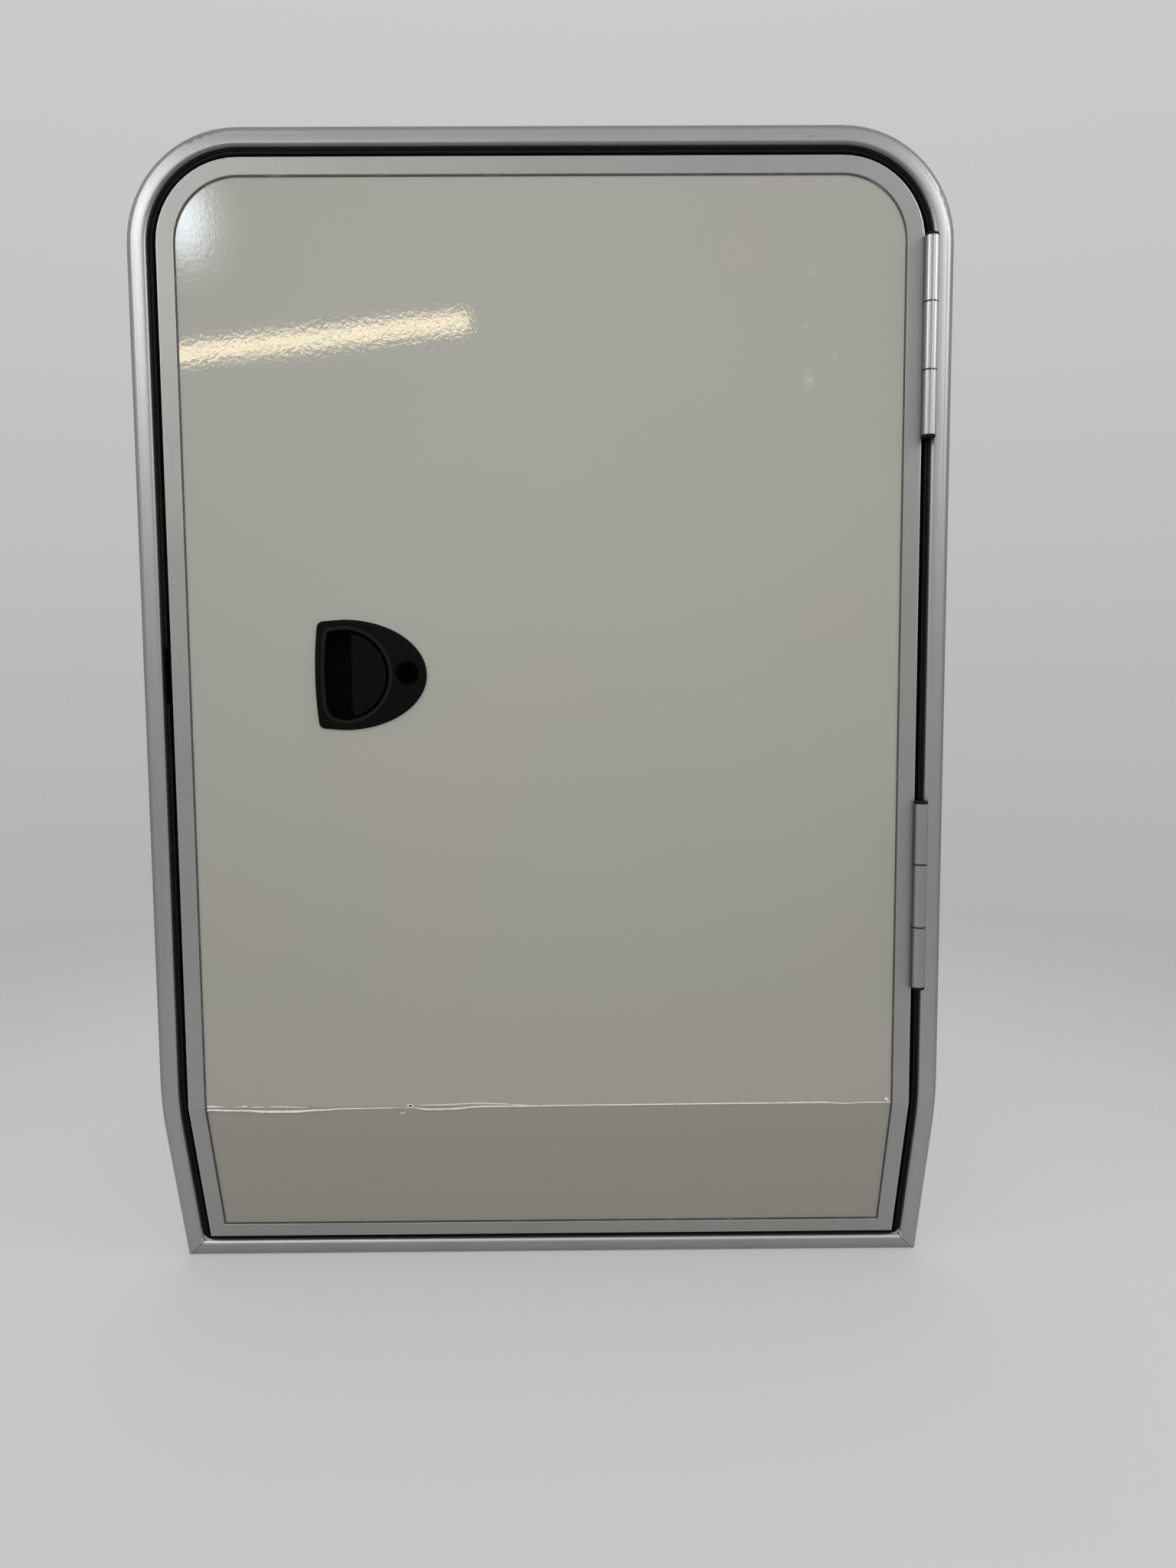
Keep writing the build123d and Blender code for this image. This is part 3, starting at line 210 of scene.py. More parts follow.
class Surface:
    """One procedural material under construction, with short calls for the nodes that it needs."""

    def __init__(self, name, color, metallic=0.0, roughness=0.5, **shader):
        self.material = bpy.data.materials.new(name)
        self.material.use_nodes = True
        self.tree = self.material.node_tree
        self.bsdf = self.tree.nodes["Principled BSDF"]
        self.place = self.node("TexCoord").outputs["Object"]
        self.color = color
        self.set("Base Color", (*color, 1.0))
        self.set("Metallic", metallic)
        self.set("Roughness", roughness)
        for key, value in shader.items():
            self.set(key.replace("_", " "), value)

    def feed(self, target, value):
        """Link a node's output to a socket, or set a plain value on it."""
        if isinstance(value, bpy.types.NodeSocket):
            self.tree.links.new(value, target)
        else:
            target.default_value = value

    def set(self, socket, value):
        """Set or link one input of the shader."""
        self.feed(self.bsdf.inputs[socket], value)

    def node(self, kind, inputs=(), **settings):
        """New node, with plain values or links on its inputs and settings on itself."""
        made = self.tree.nodes.new("ShaderNode" + kind)
        for key, value in settings.items():
            setattr(made, key, value)
        for key, value in dict(inputs).items():
            self.feed(made.inputs[key], value)
        return made

    def axis(self, name):
        """One coordinate of the place."""
        return self.node("SeparateXYZ", {0: self.place}).outputs[name]

    def noise(self, scale, detail=3.0, roughness=0.55, stretch=(1, 1, 1)):
        """Noise from 0 to 1, with the place first scaled along each axis."""
        place = self.node("Mapping", {"Vector": self.place, "Scale": stretch}).outputs["Vector"]
        inputs = {"Vector": place, "Scale": scale, "Detail": detail, "Roughness": roughness}
        return self.node("TexNoise", inputs).outputs["Fac"]

    def ramp(self, value, low, high, start=0.0, end=1.0):
        """Map low..high of a value onto start..end, held at the ends."""
        inputs = {"Value": value, "From Min": low, "From Max": high, "To Min": start, "To Max": end}
        return self.node("MapRange", inputs).outputs["Result"]

    def band(self, value, ends, start=0.0, end=1.0):
        """The same between two distances in millimetres, for a value in metres."""
        return self.ramp(value, ends[0] * MM, ends[1] * MM, start, end)

    def math(self, operation, a, b=0.0):
        return self.node("Math", {0: a, 1: b}, operation=operation).outputs[0]

    def mix(self, factor, a, b):
        """Colour between two colours, by a factor."""
        made = self.node("Mix", data_type="RGBA")
        for socket, value in zip((0, 6, 7), (factor, a, b)):
            self.feed(made.inputs[socket], (*value, 1.0) if isinstance(value, tuple) else value)
        return made.outputs[2]

    def spot(self, centre, size, soft=0.5):
        """Mask of an ellipse round a point in millimetres: 1 inside, fading out over its rim."""
        away = self.node("VectorMath", {0: self.place, 1: mm(*centre)}, operation="SUBTRACT").outputs[0]
        scale = [1000.0 / s for s in size]
        scaled = self.node("VectorMath", {0: away, 1: scale}, operation="MULTIPLY").outputs[0]
        length = self.node("VectorMath", {0: scaled}, operation="LENGTH").outputs["Value"]
        return self.ramp(length, 1.0 - soft, 1.0, 1.0, 0.0)

    def uneven(self, scale, low, high, detail=3.0):
        """Value that wanders between two others, such as the roughness of a surface."""
        return self.ramp(self.noise(scale, detail), NOISE_LOW, NOISE_HIGH, low, high)

    def vary(self, value, spread):
        """Lighten and darken the colour by a noise value."""
        low = tuple(c * (1 - spread) for c in self.color)
        high = tuple(min(1.0, c * (1 + spread)) for c in self.color)
        return self.mix(value, low, high)

    def bump(self, height, distance, strength=1.0, below=None):
        """Normal bent by a height, on top of another bent normal if one is given."""
        inputs = {"Height": height, "Distance": distance, "Strength": strength}
        if below is not None:
            inputs["Normal"] = below
        return self.node("Bump", inputs).outputs["Normal"]


def aluminium(name, color=SILVER, roughness=0.4, marks=(), profile=None):
    """Satin anodised extrusion: fine grain, soft cloudy stain and a slightly uneven gloss."""
    s = Surface(name, color, metallic=1.0, roughness=roughness)
    tone = s.vary(s.uneven(14.0, 0.0, 1.0), 0.03)
    for centre, size, dark in marks:
        ragged = s.ramp(s.noise(900.0, 3.0), 0.35, 0.6)
        tone = s.mix(s.math("MULTIPLY", s.spot(centre, size), ragged), tone, dark)
    s.set("Roughness", s.uneven(500.0, roughness - 0.025, roughness + 0.03))
    normal = s.bump(s.noise(1500.0, 2.0), 0.000008, 0.5)
    if profile:
        tone, normal = profile(s, tone, normal)
    s.set("Base Color", tone)
    s.set("Normal", normal)
    return s.material


def inside_outline(s):
    """Distance inwards from the outline of the outer frame, in metres, on either section."""
    across = s.math("SUBTRACT", s.math("ABSOLUTE", s.axis("X")), (HALF_WIDTH - CORNER_R) * MM)
    up = s.math("SUBTRACT", s.axis("Z"), (TOP_Z - CORNER_R) * MM)
    out_x = s.math("MAXIMUM", across, 0.0)
    out_z = s.math("MAXIMUM", up, 0.0)
    corner = s.math("SQRT", s.math("ADD", s.math("MULTIPLY", out_x, out_x), s.math("MULTIPLY", out_z, out_z)))
    within = s.math("MINIMUM", s.math("MAXIMUM", across, up), 0.0)
    upper = s.math("SUBTRACT", CORNER_R * MM, s.math("ADD", corner, within))
    return s.math("MINIMUM", upper, above_sill(s))


def above_sill(s):
    """Distance up the lower section from the bottom edge, in metres."""
    down = (0.0, math.sin(FOLD_ANGLE), -math.cos(FOLD_ANGLE))
    away = s.node("VectorMath", {0: s.place, 1: mm(0, FACE_Y, FOLD_Z)}, operation="SUBTRACT").outputs[0]
    below_fold = s.node("VectorMath", {0: away, 1: down}, operation="DOT_PRODUCT").outputs["Value"]
    return s.math("SUBTRACT", LOWER_LENGTH * MM, below_fold)


def frame_profile(s, tone, normal):
    """Crown of the face, painted shade along the top rail's inner edge, a painted highlight on the sill's
    lip, and the sill's mitres.

    The crown here is bump only. The meshes hold just the arc over its outer 6.5 mm.
    """
    inside = inside_outline(s)
    share = s.band(inside, (0.0, CROWN_REACH))
    rounding = s.math("MULTIPLY", s.math("POWER", share, CROWN_EASE), 1 / CROWN_EASE)
    crown = s.math("MULTIPLY", s.math("SUBTRACT", share, rounding), CROWN_SLOPE * CROWN_REACH * MM)
    # Painted shade: the downward-facing inner edge of the top rail is darkened, more strongly higher up
    under_top = s.band(s.axis("Z"), TOP_EDGE_SHADE_HEIGHTS, 0.0, 0.6)
    darkening = s.math("MULTIPLY", s.band(inside, TOP_EDGE_SHADE_BAND), under_top)
    tone = s.mix(darkening, tone, TOP_EDGE_SHADE_GREY)
    sill = above_sill(s)
    low = s.band(sill, SILL_MARKS_END, 1.0, 0.0)
    # Painted highlight: a bright line along the upward-facing inner lip of the sill
    tone = s.mix(s.math("MULTIPLY", s.band(inside, SILL_LIP_HIGHLIGHT_BAND), low), tone, SILL_LIP_HIGHLIGHT_GREY)
    side = s.math("SUBTRACT", HALF_WIDTH * MM, s.math("ABSOLUTE", s.axis("X")))
    off = s.math("ABSOLUTE", s.math("SUBTRACT", side, sill))
    seam = s.band(off, MITRE_BAND, 1.0, 0.0)
    tone = s.mix(s.math("MULTIPLY", seam, low), tone, MITRE_GREY)
    return tone, s.bump(crown, 1.0, 1.0, normal)


def frame_aluminium():
    scuff_z = FOLD_Z + 834.4
    marks = [
        ((226.0, FACE_Y, scuff_z), (2.2, 6.0, 1.0), (0.2, 0.2, 0.2)),
        ((231.0, FACE_Y, scuff_z + 0.6), (1.2, 6.0, 0.7), (0.15, 0.15, 0.15)),
    ]
    return aluminium("frame_aluminium_satin", marks=marks, profile=frame_profile)


def leaf_edge(s, tone, normal):
    """Painted highlight: a bright line along the eased outer edge of the leaf."""
    edge_highlight = s.band(inside_outline(s), LEAF_EDGE_HIGHLIGHT_BAND, 1.0, 0.0)
    return s.mix(edge_highlight, tone, LEAF_EDGE_HIGHLIGHT_GREY), normal


def leaf_aluminium():
    marks = [((-323.9, LEAF_Y, FOLD_Z + 35.5), (0.9, 3.0, 2.6), (0.03, 0.03, 0.03))]
    return aluminium("leaf_aluminium_satin", LEAF_SILVER, 0.46, marks, leaf_edge)


def panel_gloss():
    """Glossy coated skin with orange peel, faint tone drift, rubbed marks and the bubble's dirty middle."""
    s = Surface("panel_gloss", PANEL_GREENISH, roughness=0.04, IOR=1.5)
    drift = s.ramp(s.noise(3.1, 2.0), 0.38, 0.62)
    warm = s.math("MAXIMUM", s.math("MULTIPLY", drift, 0.7), s.band(s.axis("Z"), WARMER_HEIGHTS))
    tone = s.mix(warm, PANEL_GREENISH, PANEL_PINKISH)
    for (x, up), size, amount in RUBBED_MARKS:
        mark = s.spot((x, PANEL_Y, FOLD_Z + up), size, 0.9)
        smear = s.math("MULTIPLY", mark, s.ramp(s.noise(420.0, 3.0), 0.3, 0.62))
        tone = s.mix(s.math("MULTIPLY", smear, amount), tone, (0.62, 0.62, 0.58))
    (x, up), (long_radius, short_radius) = SPOT_PLACE, SPOT_RING
    bubble = s.spot((x, PANEL_Y, FOLD_Z + up), (long_radius, 2.0, short_radius), 0.4)
    tone = s.mix(bubble, tone, (0.02, 0.02, 0.018))
    s.set("Base Color", tone)
    s.set("Roughness", s.uneven(9.0, 0.018, 0.034))
    peel = s.noise(250.0, 3.0, 0.6)
    wave = s.noise(9.0, 1.0)
    s.set("Normal", s.bump(peel, 0.00003, 1.0, s.bump(wave, 0.0003, 0.15)))
    return s.material


def inner_paint():
    s = Surface("inner_paint", (0.6, 0.6, 0.57), roughness=0.35)
    s.set("Base Color", s.vary(s.noise(6.0, 3.0), 0.05))
    s.set("Normal", s.bump(s.noise(700.0, 2.0), 0.00003, 0.5))
    return s.material


def rubber(name, color=(0.002, 0.002, 0.0022), roughness=0.5, rib_highlights=False):
    """Extruded rubber: dusty along its length, matt with a soft sheen, with painted highlight lines along its
    ribs if asked.
    """
    s = Surface(name, color, roughness=roughness, Specular_IOR_Level=0.1)
    dust = s.ramp(s.noise(55.0, 5.0, 0.65), 0.52, 0.8)
    tone = s.mix(dust, color, tuple(c * 2.6 + 0.002 for c in color))
    if rib_highlights:
        # Painted highlights: lighter lines along the gasket's ribs
        wave = s.math("SINE", s.math("MULTIPLY", inside_outline(s), math.tau / (RIB_PITCH * MM)))
        tone = s.mix(s.ramp(wave, 0.2, 0.9), tone, (0.011, 0.011, 0.0115))
    s.set("Base Color", tone)
    s.set("Roughness", s.uneven(240.0, roughness - 0.1, roughness + 0.12))
    s.set("Normal", s.bump(s.noise(1500.0, 3.0), 0.00004, 0.6))
    return s.material


def moulded_black(name, roughness=0.42, recess=None):
    """Moulded plastic with a fine spark eroded grain and polished high spots."""
    s = Surface(name, BLACK, roughness=roughness, Specular_IOR_Level=0.07)
    grain = s.node("TexVoronoi", {"Vector": s.place, "Scale": 2600.0}).outputs["Distance"]
    tone = s.vary(s.noise(45.0, 4.0), 0.35)
    gloss = s.uneven(120.0, roughness - 0.08, roughness + 0.08, 4.0)
    if recess:
        tone, gloss = recess(s, tone, gloss)
    s.set("Base Color", tone)
    s.set("Roughness", gloss)
    s.set("Normal", s.bump(grain, 0.00003, 0.35))
    return s.material


def housing_recess(s, tone, gloss):
    """Painted shade darkens the pocket and the lock hole, which are also left rougher from the mould; a
    painted highlight lightens the face and the rim.
    """
    depth = s.axis("Y")
    deep = s.band(depth, RECESS_DEPTHS)
    proud = s.band(depth, RIM_DEPTHS)
    # Painted shade in the pocket and lock hole, painted highlight on the proud face and rim
    tone = s.mix(deep, tone, (0.0004, 0.0004, 0.0004))
    tone = s.mix(proud, tone, (0.007, 0.007, 0.0074))
    return tone, s.math("ADD", gloss, s.math("MULTIPLY", deep, 0.4))


def drawn_metal(name, color=(0.37, 0.375, 0.385), roughness=0.31, joins=()):
    """Metal drawn or turned along z, with fine lines along its length, and dirt with painted shade in its
    joins.

    Gives the surface and its colour, for a caller that adds more marks.
    """
    s = Surface(name, color, metallic=1.0, roughness=roughness)
    lines = s.noise(1.0, 2.0, 0.6, (900.0, 900.0, 1.5))
    fine = s.noise(1.0, 2.0, 0.5, (2600.0, 2600.0, 9.0))
    tone = s.vary(lines, 0.12)
    height = s.axis("Z")
    # Dirt with painted shade to either side of each join between knuckles
    for z in joins:
        near = s.math("ABSOLUTE", s.math("SUBTRACT", height, z * MM))
        tone = s.mix(s.band(near, JOIN_DIRT_AND_SHADE_BAND, 1.0, 0.0), tone, JOIN_DIRT_AND_SHADE_GREY)
    s.set("Roughness", s.ramp(fine, NOISE_LOW, NOISE_HIGH, roughness - 0.03, roughness + 0.05))
    s.set("Normal", s.bump(lines, 0.00006, 0.8, s.bump(fine, 0.000005, 0.5)))
    s.set("Base Color", tone)
    return s, tone


def hinge_metal():
    """Drawn hinge: painted shade darkens its plates in the gap, and painted highlights lie as bright lines
    along the upper hinge's barrel.
    """
    joins = [middle + side * KNUCKLE_SPLIT for middle in HINGE_MIDDLES for side in (-1, 1)]
    s, tone = drawn_metal("hinge_drawn_aluminium", joins=joins)
    across = s.axis("X")
    # Painted shade on the hinge plates in the gap beside the barrel
    plate_shade = s.band(across, BARREL_EDGE_BAND, 1.0, 0.0)
    upper = s.band(s.axis("Z"), BARREL_HIGHLIGHT_HEIGHTS)
    # Painted highlights: bright lines along the upper hinge's barrel
    for x, half_width in BARREL_HIGHLIGHT_LINES:
        off = s.math("ABSOLUTE", s.math("SUBTRACT", across, x * MM))
        line = s.band(off, (half_width * 0.6, half_width * 1.4), 1.0, 0.0)
        tone = s.mix(s.math("MULTIPLY", line, upper), tone, BARREL_HIGHLIGHT_GREY)
    s.set("Base Color", s.mix(plate_shade, tone, HINGE_PLATE_SHADE_GREY))
    return s.material


def bolt_metal():
    return drawn_metal("bolt_cast_zinc", (0.5, 0.5, 0.5), 0.4)[0].material


def plated_steel(name, color):
    s = Surface(name, color, metallic=1.0, roughness=0.34)
    s.set("Base Color", s.vary(s.noise(180.0, 4.0), 0.12))
    s.set("Normal", s.bump(s.noise(1900.0, 2.0), 0.00001, 0.5))
    return s.material


def foam():
    s = Surface("closed_cell_foam", (0.66, 0.6, 0.43), roughness=0.9)
    cells = s.node("TexVoronoi", {"Vector": s.place, "Scale": 900.0}).outputs["Distance"]
    s.set("Base Color", s.vary(s.noise(30.0, 3.0), 0.08))
    s.set("Normal", s.bump(cells, 0.0002, 0.6))
    return s.material


def sealant():
    """Cured sealant, cream and fairly glossy, with patches of dirt at random."""
    depth = {"Subsurface_Weight": 0.15, "Subsurface_Scale": 0.001}
    s = Surface("cured_sealant", (0.66, 0.645, 0.6), roughness=0.32, **depth)
    darkening = s.ramp(s.noise(260.0, 4.0, 0.6), 0.5, 0.75)
    s.set("Base Color", s.mix(darkening, (0.7, 0.685, 0.64), (0.46, 0.44, 0.39)))
    s.set("Normal", s.bump(s.noise(900.0, 4.0, 0.6), 0.0001, 0.5))
    return s.material


def nylon():
    s = Surface("dark_nylon", (0.02, 0.02, 0.02), roughness=0.5)
    s.set("Base Color", s.vary(s.noise(90.0, 3.0), 0.2))
    return s.material


MATERIALS = {
    "frame_aluminium": frame_aluminium(),
    "leaf_aluminium": leaf_aluminium(),
    "gasket_rubber": rubber("gasket_rubber_black", rib_highlights=True),
    "seal_rubber": rubber("edge_seal_dark", (0.06, 0.06, 0.055)),
    "hinge_metal": hinge_metal(),
    "steel": plated_steel("zinc_plated_steel", (0.5, 0.5, 0.49)),
    "black_steel": plated_steel("black_plated_steel", (0.006, 0.006, 0.006)),
    "black_plastic": moulded_black("housing_black", recess=housing_recess),
    "paddle_plastic": moulded_black("paddle_black", 0.36),
    "nylon": nylon(),
    "panel_paint": panel_gloss(),
    "inner_paint": inner_paint(),
    "foam": foam(),
    "sealant": sealant(),
    "bolt_metal": bolt_metal(),
    "cover_plastic": moulded_black("cover_black", 0.5),
}


def dress_nodes():
    """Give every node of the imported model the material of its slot."""
    slots = {part["node"]: part["material_slot"] for part in frame["record"]["subparts"]}
    for name, node in frame["nodes"].items():
        node.data.materials.clear()
        node.data.materials.append(MATERIALS[slots[name]])


def mesh_object(name, mesh, body, slot_name):
    """Smooth visible piece on a body, with the material of a slot."""
    made = bpy.data.objects.new(name, mesh)
    bpy.context.scene.collection.objects.link(made)
    mesh.materials.append(MATERIALS[slot_name])
    for face in mesh.polygons:
        face.use_smooth = True
    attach(made, body)
    return made


# Bead of sealant on the fold: x and offset up the panel, width and height of the bead, in millimetres
MAIN_BEAD = [
    (-308.2, -2.4, 2.0, 1.1), (-300, -2.5, 1.7, 1.0), (-292, -3.0, 1.9, 1.0), (-270, -3.6, 1.9, 1.0),
    (-258, -4.6, 2.7, 1.3), (-240, -4.8, 2.8, 1.4), (-225, -4.6, 2.6, 1.3), (-214, -3.7, 1.9, 1.0),
    (-200, -3.1, 1.7, 0.9), (-188, -2.1, 1.3, 0.7), (-170, -1.9, 1.2, 0.6), (-146, -1.5, 1.1, 0.5),
    (-138, -1.3, 0.8, 0.12), (-124, -1.6, 0.8, 0.12), (-117, -2.4, 1.3, 0.6), (-108, -3.6, 2.1, 1.0),
    (-84, -3.0, 1.8, 0.9), (-66, -1.2, 1.5, 0.7), (-32, -0.9, 1.4, 0.7), (0, -0.6, 1.3, 0.6),
    (60, -0.2, 1.3, 0.6), (130, 0.1, 1.2, 0.6), (200, 0.3, 1.2, 0.6), (246, 0.5, 1.3, 0.6),
    (258, -0.2, 1.2, 0.5), (268, -0.8, 1.1, 0.4), (282, 0.1, 1.0, 0.3), (300, 0.2, 1.0, 0.3),
    (308.2, 0.2, 1.2, 0.5),
]
UPPER_DASHES = {
    "left": [(-308.2, 1.1, 1.3, 0.7), (-302, 1.1, 1.5, 0.8), (-297, 0.9, 1.0, 0.4), (-292, 0.8, 0.4, 0.1)],
    "nib": [(-284, 0.4, 0.5, 0.2), (-277, 0.6, 0.9, 0.5), (-274, 1.2, 1.7, 1.0), (-271, 0.7, 0.7, 0.2)],
    "second": [(-268.4, 0.2, 0.5, 0.15), (-262, 0.3, 0.9, 0.4), (-256, 0.3, 0.5, 0.15)],
    "third": [(-252, 0.4, 0.5, 0.15), (-243, 0.4, 0.9, 0.4), (-229, -0.1, 0.9, 0.35), (-218, -0.6, 0.4, 0.1)],
    "right": [
        (-117, 1.1, 0.5, 0.15), (-95, 1.3, 0.8, 0.3), (-66, 2.2, 0.9, 0.35),
        (-40, 1.4, 0.8, 0.3), (-20, 0.2, 0.5, 0.15),
    ],
}
BEAD_DASH = [(-135.4, -8.1, 0.6, 0.2), (-132.5, -7.7, 1.2, 0.6), (-129.5, -6.8, 0.5, 0.2)]
END_BLOB = [
    (302.6, 3.6, 1.2, 0.8), (303.8, 3.4, 3.4, 2.0), (305.2, 2.6, 3.4, 2.0),
    (307.0, 0.9, 2.0, 1.2), (308.3, 0.2, 1.2, 0.8),
]

# Bead's step, points round its section and depth of its foot in the panel, in millimetres
BEAD_STEP = 2.2
BEAD_RING = 12
BEAD_FOOT = 0.04

# Bubble's ring: steps and sides, thickness as a share of its radii, middle and half height in millimetres
BUBBLE_STEPS = 28
BUBBLE_SIDES = 10
BUBBLE_TUBE = 0.3
BUBBLE_MIDDLE = 0.3
BUBBLE_RISE = 0.35


def along_stations(stations, step):
    """Stations eased by a smooth curve between the given ones."""
    result = []
    for i in range(len(stations) - 1):
        a = Vector(stations[max(i - 1, 0)])
        b = Vector(stations[i])
        c = Vector(stations[i + 1])
        d = Vector(stations[min(i + 2, len(stations) - 1)])
        count = max(2, round((c[0] - b[0]) / step))
        for k in range(count):
            t = k / count
            bend = (2 * b - 2 * c + (c - a) / 2 + (d - b) / 2) * t**3
            turn = (3 * c - 3 * b - (c - a) - (d - b) / 2) * t**2
            result.append(b + (c - a) / 2 * t + turn + bend)
    result.append(Vector(stations[-1]))
    return result


def sealant_mesh(name, rings, closed=False):
    """Skin over rings of points, joined to a loop or capped at both ends."""
    mesh = bpy.data.meshes.new(name)
    work = bmesh.new()
    rows = [[work.verts.new(point) for point in ring] for ring in rings]
    following = rows[1:] + rows[:1] if closed else rows[1:]
    for first, second in zip(rows, following):
        for k in range(len(first)):
            n = (k + 1) % len(first)
            work.faces.new((first[k], first[n], second[n], second[k]))
    if not closed:
        work.faces.new(rows[0])
        work.faces.new(list(reversed(rows[-1])))
    bmesh.ops.recalc_face_normals(work, faces=work.faces)
    work.to_mesh(mesh)
    work.free()
    return mesh_object(name, mesh, "leaf", "sealant")


def bead(name, stations):
    """Closed ridge of sealant whose foot lies on the panel on both sides of the fold."""
    rings = []
    for x, up, width, height in along_stations(stations, BEAD_STEP):
        turns = [math.pi * k / (BEAD_RING - 1) for k in range(BEAD_RING)]
        section = [(up + math.cos(turn) * width / 2, math.sin(turn) * height - BEAD_FOOT) for turn in turns]
        rings.append([on_front(x, across, proud) for across, proud in section])
    return sealant_mesh(name, rings)


def bead_bubble():
    """Burst bubble in the bead: a small ring whose dirty middle is painted on the panel."""
    (x, up), (long_radius, short_radius) = SPOT_PLACE, SPOT_RING
    rings = []
    for i in range(BUBBLE_STEPS):
        turn = math.tau * i / BUBBLE_STEPS
        ring = []
        for k in range(BUBBLE_SIDES):
            lean = math.tau * k / BUBBLE_SIDES
            reach = 1.0 + BUBBLE_TUBE * math.cos(lean)
            across = x + math.cos(turn) * long_radius * reach
            along = up + math.sin(turn) * short_radius * reach
            ring.append(on_front(across, along, BUBBLE_MIDDLE + BUBBLE_RISE * math.sin(lean)))
        rings.append(ring)
    sealant_mesh("fold_bead_bubble", rings, closed=True)


def fold_bead():
    """Uneven bead along the fold, with its dashes, bubble and end blob, in place of the plain one."""
    main = bead("fold_bead_main", MAIN_BEAD)
    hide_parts("fold_sealant")
    for place, stations in UPPER_DASHES.items():
        bead("fold_bead_" + place, stations)
    bead_bubble()
    bead("fold_bead_dash", BEAD_DASH)
    bead("fold_bead_blob", END_BLOB)


def stage_object(name, mesh, material):
    """Thing of the picture's setting, which isn't part of the model."""
    made = bpy.data.objects.new(name, mesh)
    bpy.context.scene.collection.objects.link(made)
    mesh.materials.append(material)
    return made


# Floor: side, distance to which it is solid and from which it is gone, in metres, and its glow
FLOOR_SIZE = 6.0
FLOOR_SOLID = 0.55
FLOOR_GONE = 1.9
FLOOR_GLOW = 0.265


def floor():
    """Pale floor that fades into the background away from the door."""
    low = CAD_BOX[0]
    s = Surface("pale_floor", (0.3, 0.3, 0.298), roughness=0.7)
    away = s.node("VectorMath", {0: s.place, 1: (1.0, 1.0, 0.0)}, operation="MULTIPLY").outputs[0]
    distance = s.node("VectorMath", {0: away}, operation="LENGTH").outputs["Value"]
    fade = s.node(
        "MapRange",
        {"Value": distance, "From Min": FLOOR_SOLID, "From Max": FLOOR_GONE, "To Min": 1.0, "To Max": 0.0},
        interpolation_type="SMOOTHSTEP",
    )
    s.set("Alpha", fade.outputs["Result"])
    s.set("Normal", s.bump(s.noise(60.0, 4.0), 0.0003, 0.2))
    seen = s.node("LightPath").outputs
    glow = s.math("MULTIPLY", s.math("MAXIMUM", seen["Is Camera Ray"], seen["Is Glossy Ray"]), FLOOR_GLOW)
    s.set("Emission Color", (1.0, 1.0, 1.0, 1.0))
    s.set("Emission Strength", glow)
    mesh = bpy.data.meshes.new("floor")
    half = FLOOR_SIZE / 2
    corners = [(-half, -half, 0), (half, -half, 0), (half, half, 0), (-half, half, 0)]
    mesh.from_pydata(corners, [], [(0, 1, 2, 3)])
    made = stage_object("floor", mesh, s.material)
    made.location = (0, 0, low.z)


def level_ramp(tree, height, levels):
    """Grey by height, changing evenly from one of the given levels to the next."""
    ramp = tree.nodes.new("ShaderNodeValToRGB")
    stops = ramp.color_ramp.elements
    while len(stops) < len(levels):
        stops.new(0.5)
    for stop, (sine, level) in zip(stops, levels):
        stop.position = (sine + 1) / 2
        stop.color = (level, level, level, 1)
    tree.links.new(height, ramp.inputs["Fac"])
    return ramp.outputs["Color"]


def world():
    """Plain pale room, brighter in front of the door than behind it, seen alike by eye and metal."""
    made = bpy.data.worlds.new("studio")
    bpy.context.scene.world = made
    made.use_nodes = True
    tree = made.node_tree
    place = tree.nodes.new("ShaderNodeTexCoord")
    parts = tree.nodes.new("ShaderNodeSeparateXYZ")
    height = tree.nodes.new("ShaderNodeMapRange")
    height.inputs["From Min"].default_value = -1.0
    behind = tree.nodes.new("ShaderNodeMapRange")
    behind.inputs["From Min"].default_value = -ROOM_BLEND
    behind.inputs["From Max"].default_value = ROOM_BLEND
    both = tree.nodes.new("ShaderNodeMix")
    both.data_type = "RGBA"
    tree.links.new(place.outputs["Generated"], parts.inputs["Vector"])
    tree.links.new(parts.outputs["Z"], height.inputs["Value"])
    tree.links.new(parts.outputs["Y"], behind.inputs["Value"])
    tree.links.new(behind.outputs["Result"], both.inputs[0])
    tree.links.new(level_ramp(tree, height.outputs["Result"], ROOM_FRONT), both.inputs[6])
    tree.links.new(level_ramp(tree, height.outputs["Result"], ROOM_BACK), both.inputs[7])
    tree.links.new(both.outputs[2], tree.nodes["Background"].inputs["Color"])


def camera_turn():
    """Rotation of the camera, from its fitted yaw, pitch and roll."""
    yaw = Matrix.Rotation(math.radians(CAMERA_YAW), 4, "Z")
    pitch = Matrix.Rotation(math.radians(90 + CAMERA_PITCH), 4, "X")
    roll = Matrix.Rotation(math.radians(CAMERA_ROLL), 4, "Z")
    return yaw @ pitch @ roll


def camera():
    """Camera of the photograph, with its fitted place and lens."""
    data = bpy.data.cameras.new("camera")
    data.sensor_width = SENSOR
    data.lens = FOCAL_PX * SENSOR / PHOTO_LONG_SIDE
    data.clip_start = 0.02
    data.clip_end = 30.0
    made = bpy.data.objects.new("camera", data)
    bpy.context.scene.collection.objects.link(made)
    made.matrix_world = Matrix.Translation(CAMERA_AT) @ camera_turn()
    bpy.context.scene.camera = made


def pixel_ray(px):
    """Direction in which the camera sees a pixel of the photograph."""
    across = (px[0] - PHOTO_CENTRE[0]) / FOCAL_PX
    down = (px[1] - PHOTO_CENTRE[1]) / FOCAL_PX
    return (camera_turn().to_3x3() @ Vector((across, -down, -1.0))).normalized()


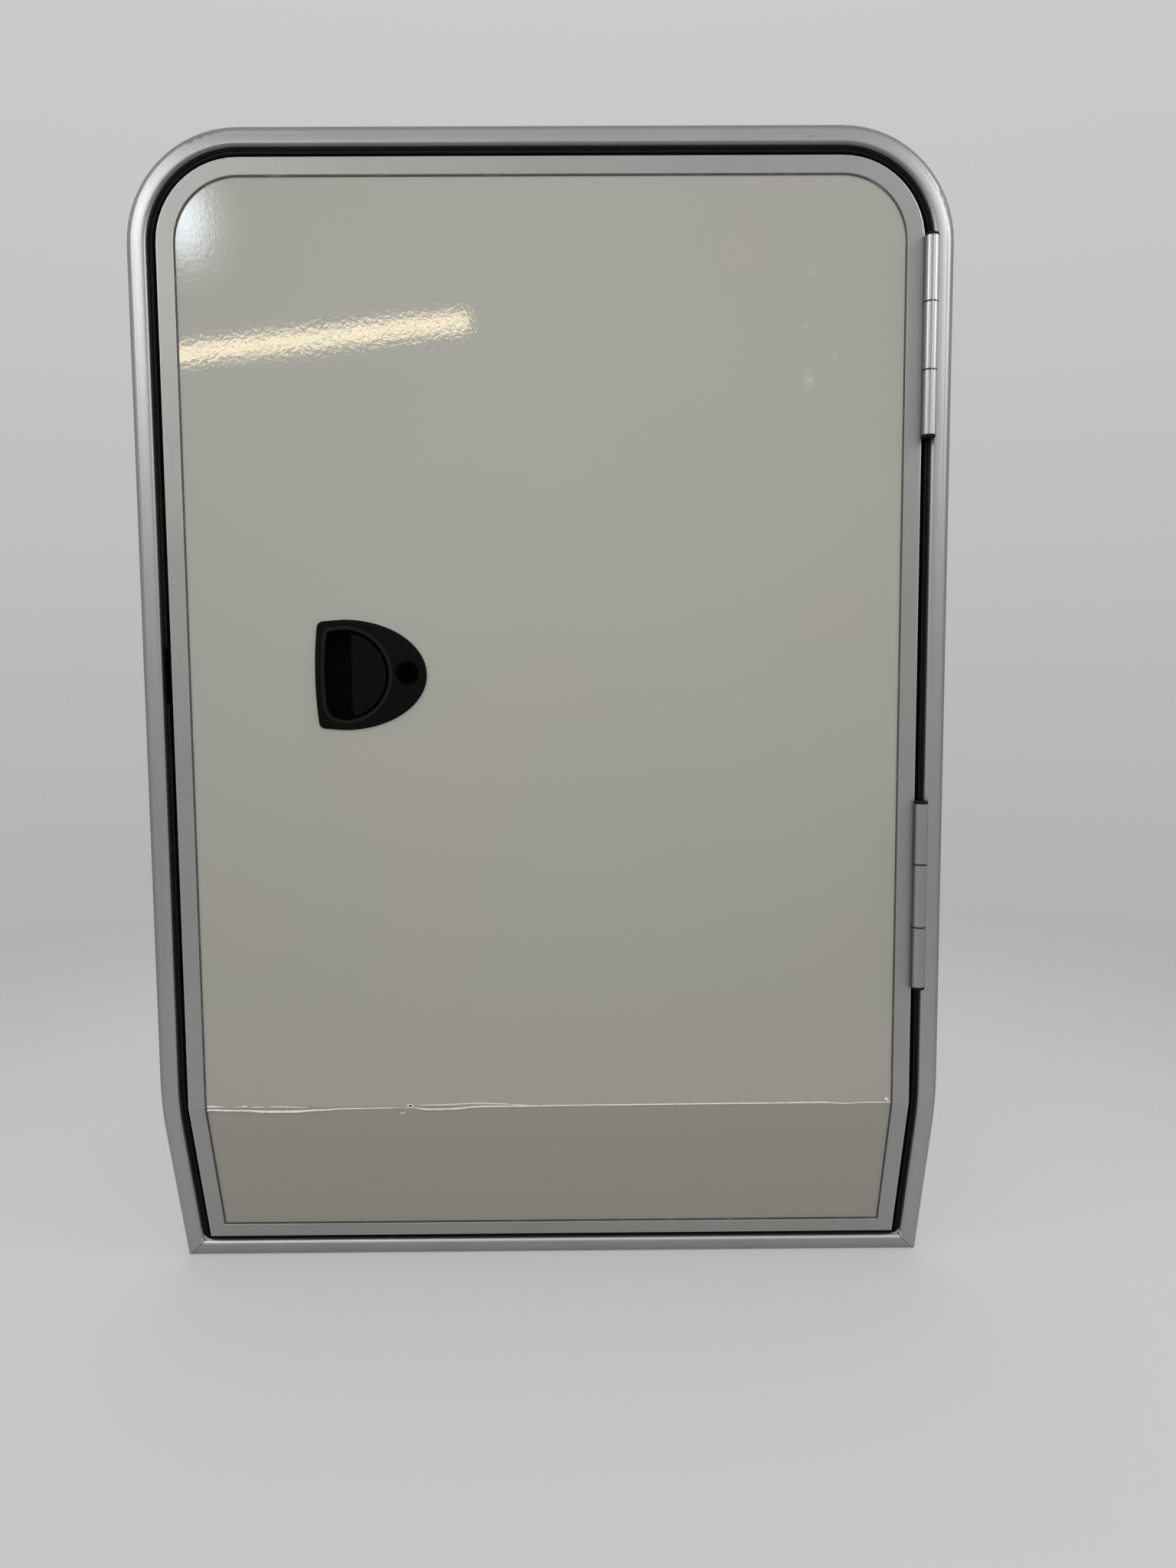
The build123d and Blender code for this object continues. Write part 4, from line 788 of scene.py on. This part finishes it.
def mirrored(px, distance):
    """Point mirrored by the upper panel to a pixel, this far from the panel, and the whole way to it."""
    ray = pixel_ray(px)
    hit = CAMERA_AT + ray * ((PANEL_Y * MM - CAMERA_AT.y) / ray.y)
    back = Vector((ray.x, -ray.y, ray.z))
    return hit + back * distance, (hit - CAMERA_AT).length + distance


def area_light(name, place, target, size, energy, color=(1, 1, 1), along=None):
    """Rectangular lamp that the camera doesn't see, with its first side along a direction if one is given."""
    data = bpy.data.lights.new(name, "AREA")
    data.shape = "RECTANGLE"
    data.size, data.size_y = size
    data.energy = energy
    data.color = color
    made = bpy.data.objects.new(name, data)
    bpy.context.scene.collection.objects.link(made)
    forward = (Vector(target) - Vector(place)).normalized()
    if along is None:
        turn = forward.to_track_quat("-Z", "Y").to_matrix()
    else:
        x = Vector(along).normalized()
        z = (-forward - x * x.dot(-forward)).normalized()
        turn = Matrix((x, z.cross(x), z)).transposed()
    made.matrix_world = Matrix.Translation(place) @ turn.to_4x4()
    made.visible_camera = False
    return made


def tube():
    """Ceiling tube whose warm reflection lies on the upper panel."""
    left, reach = mirrored(TUBE_LEFT_PX, TUBE_DISTANCE)
    right, _ = mirrored(TUBE_RIGHT_PX, TUBE_DISTANCE)
    span = (right - left) * TUBE_OVERHANG
    thickness = TUBE_THICKNESS_PX / FOCAL_PX * reach
    power = TUBE_RADIANCE * math.pi * span.length * thickness
    size = (span.length, thickness)
    area_light("tube", right - span / 2, mm(*TUBE_AIM), size, power, TUBE_COLOR, along=span)


def window():
    """Small bright pane with a cool halo whose reflection lies in the upper left corner of the panel."""
    place, reach = mirrored(WINDOW_PX, WINDOW_DISTANCE)
    pixel = reach / FOCAL_PX
    s = Surface("window_light", (0, 0, 0))
    core_size = (WINDOW_CORE_PX[0] * pixel, WINDOW_CORE_PX[1] * pixel, 1.0)
    halo_size = (WINDOW_HALO_PX[0] * pixel, WINDOW_HALO_PX[1] * pixel, 1.0)
    core = s.ramp(radial(s, core_size), *WINDOW_CORE_FADE, WINDOW_CORE_RADIANCE, 0.0)
    halo = s.ramp(radial(s, halo_size), 0.0, 1.0, 1.0, 0.0)
    halo = s.math("MULTIPLY", s.math("MULTIPLY", halo, halo), WINDOW_HALO_RADIANCE)
    strength = s.math("ADD", core, halo)
    lamp = s.node("Emission", {"Color": (*WINDOW_COLOR, 1.0), "Strength": strength}).outputs[0]
    clear = s.node("BsdfTransparent").outputs[0]
    mixed = s.node("AddShader", {0: clear, 1: lamp}).outputs[0]
    s.tree.links.new(mixed, s.tree.nodes["Material Output"].inputs["Surface"])
    mesh = bpy.data.meshes.new("window_light")
    x, y, _ = halo_size
    mesh.from_pydata([(-x, -y, 0), (x, -y, 0), (x, y, 0), (-x, y, 0)], [], [(0, 1, 2, 3)])
    made = stage_object("window_light", mesh, s.material)
    aim = (mm(*WINDOW_AIM) - place).to_track_quat("-Z", "Y").to_matrix().to_4x4()
    made.matrix_world = Matrix.Translation(place) @ aim
    made.visible_camera = False


def radial(s, half_sizes):
    """Distance from the middle, as a share of the given half sizes."""
    shares = [1 / half for half in half_sizes]
    scaled = s.node("VectorMath", {0: s.place, 1: shares}, operation="MULTIPLY").outputs[0]
    return s.node("VectorMath", {0: scaled}, operation="LENGTH").outputs["Value"]


def lights():
    tube()
    window()
    for name, (place, target, size, power, reflected) in LAMPS.items():
        area_light(name, place, target, size, power).visible_glossy = reflected


dress_nodes()
fold_bead()
floor()
world()
camera()
lights()

bpy.context.scene.view_settings.view_transform = "Standard"
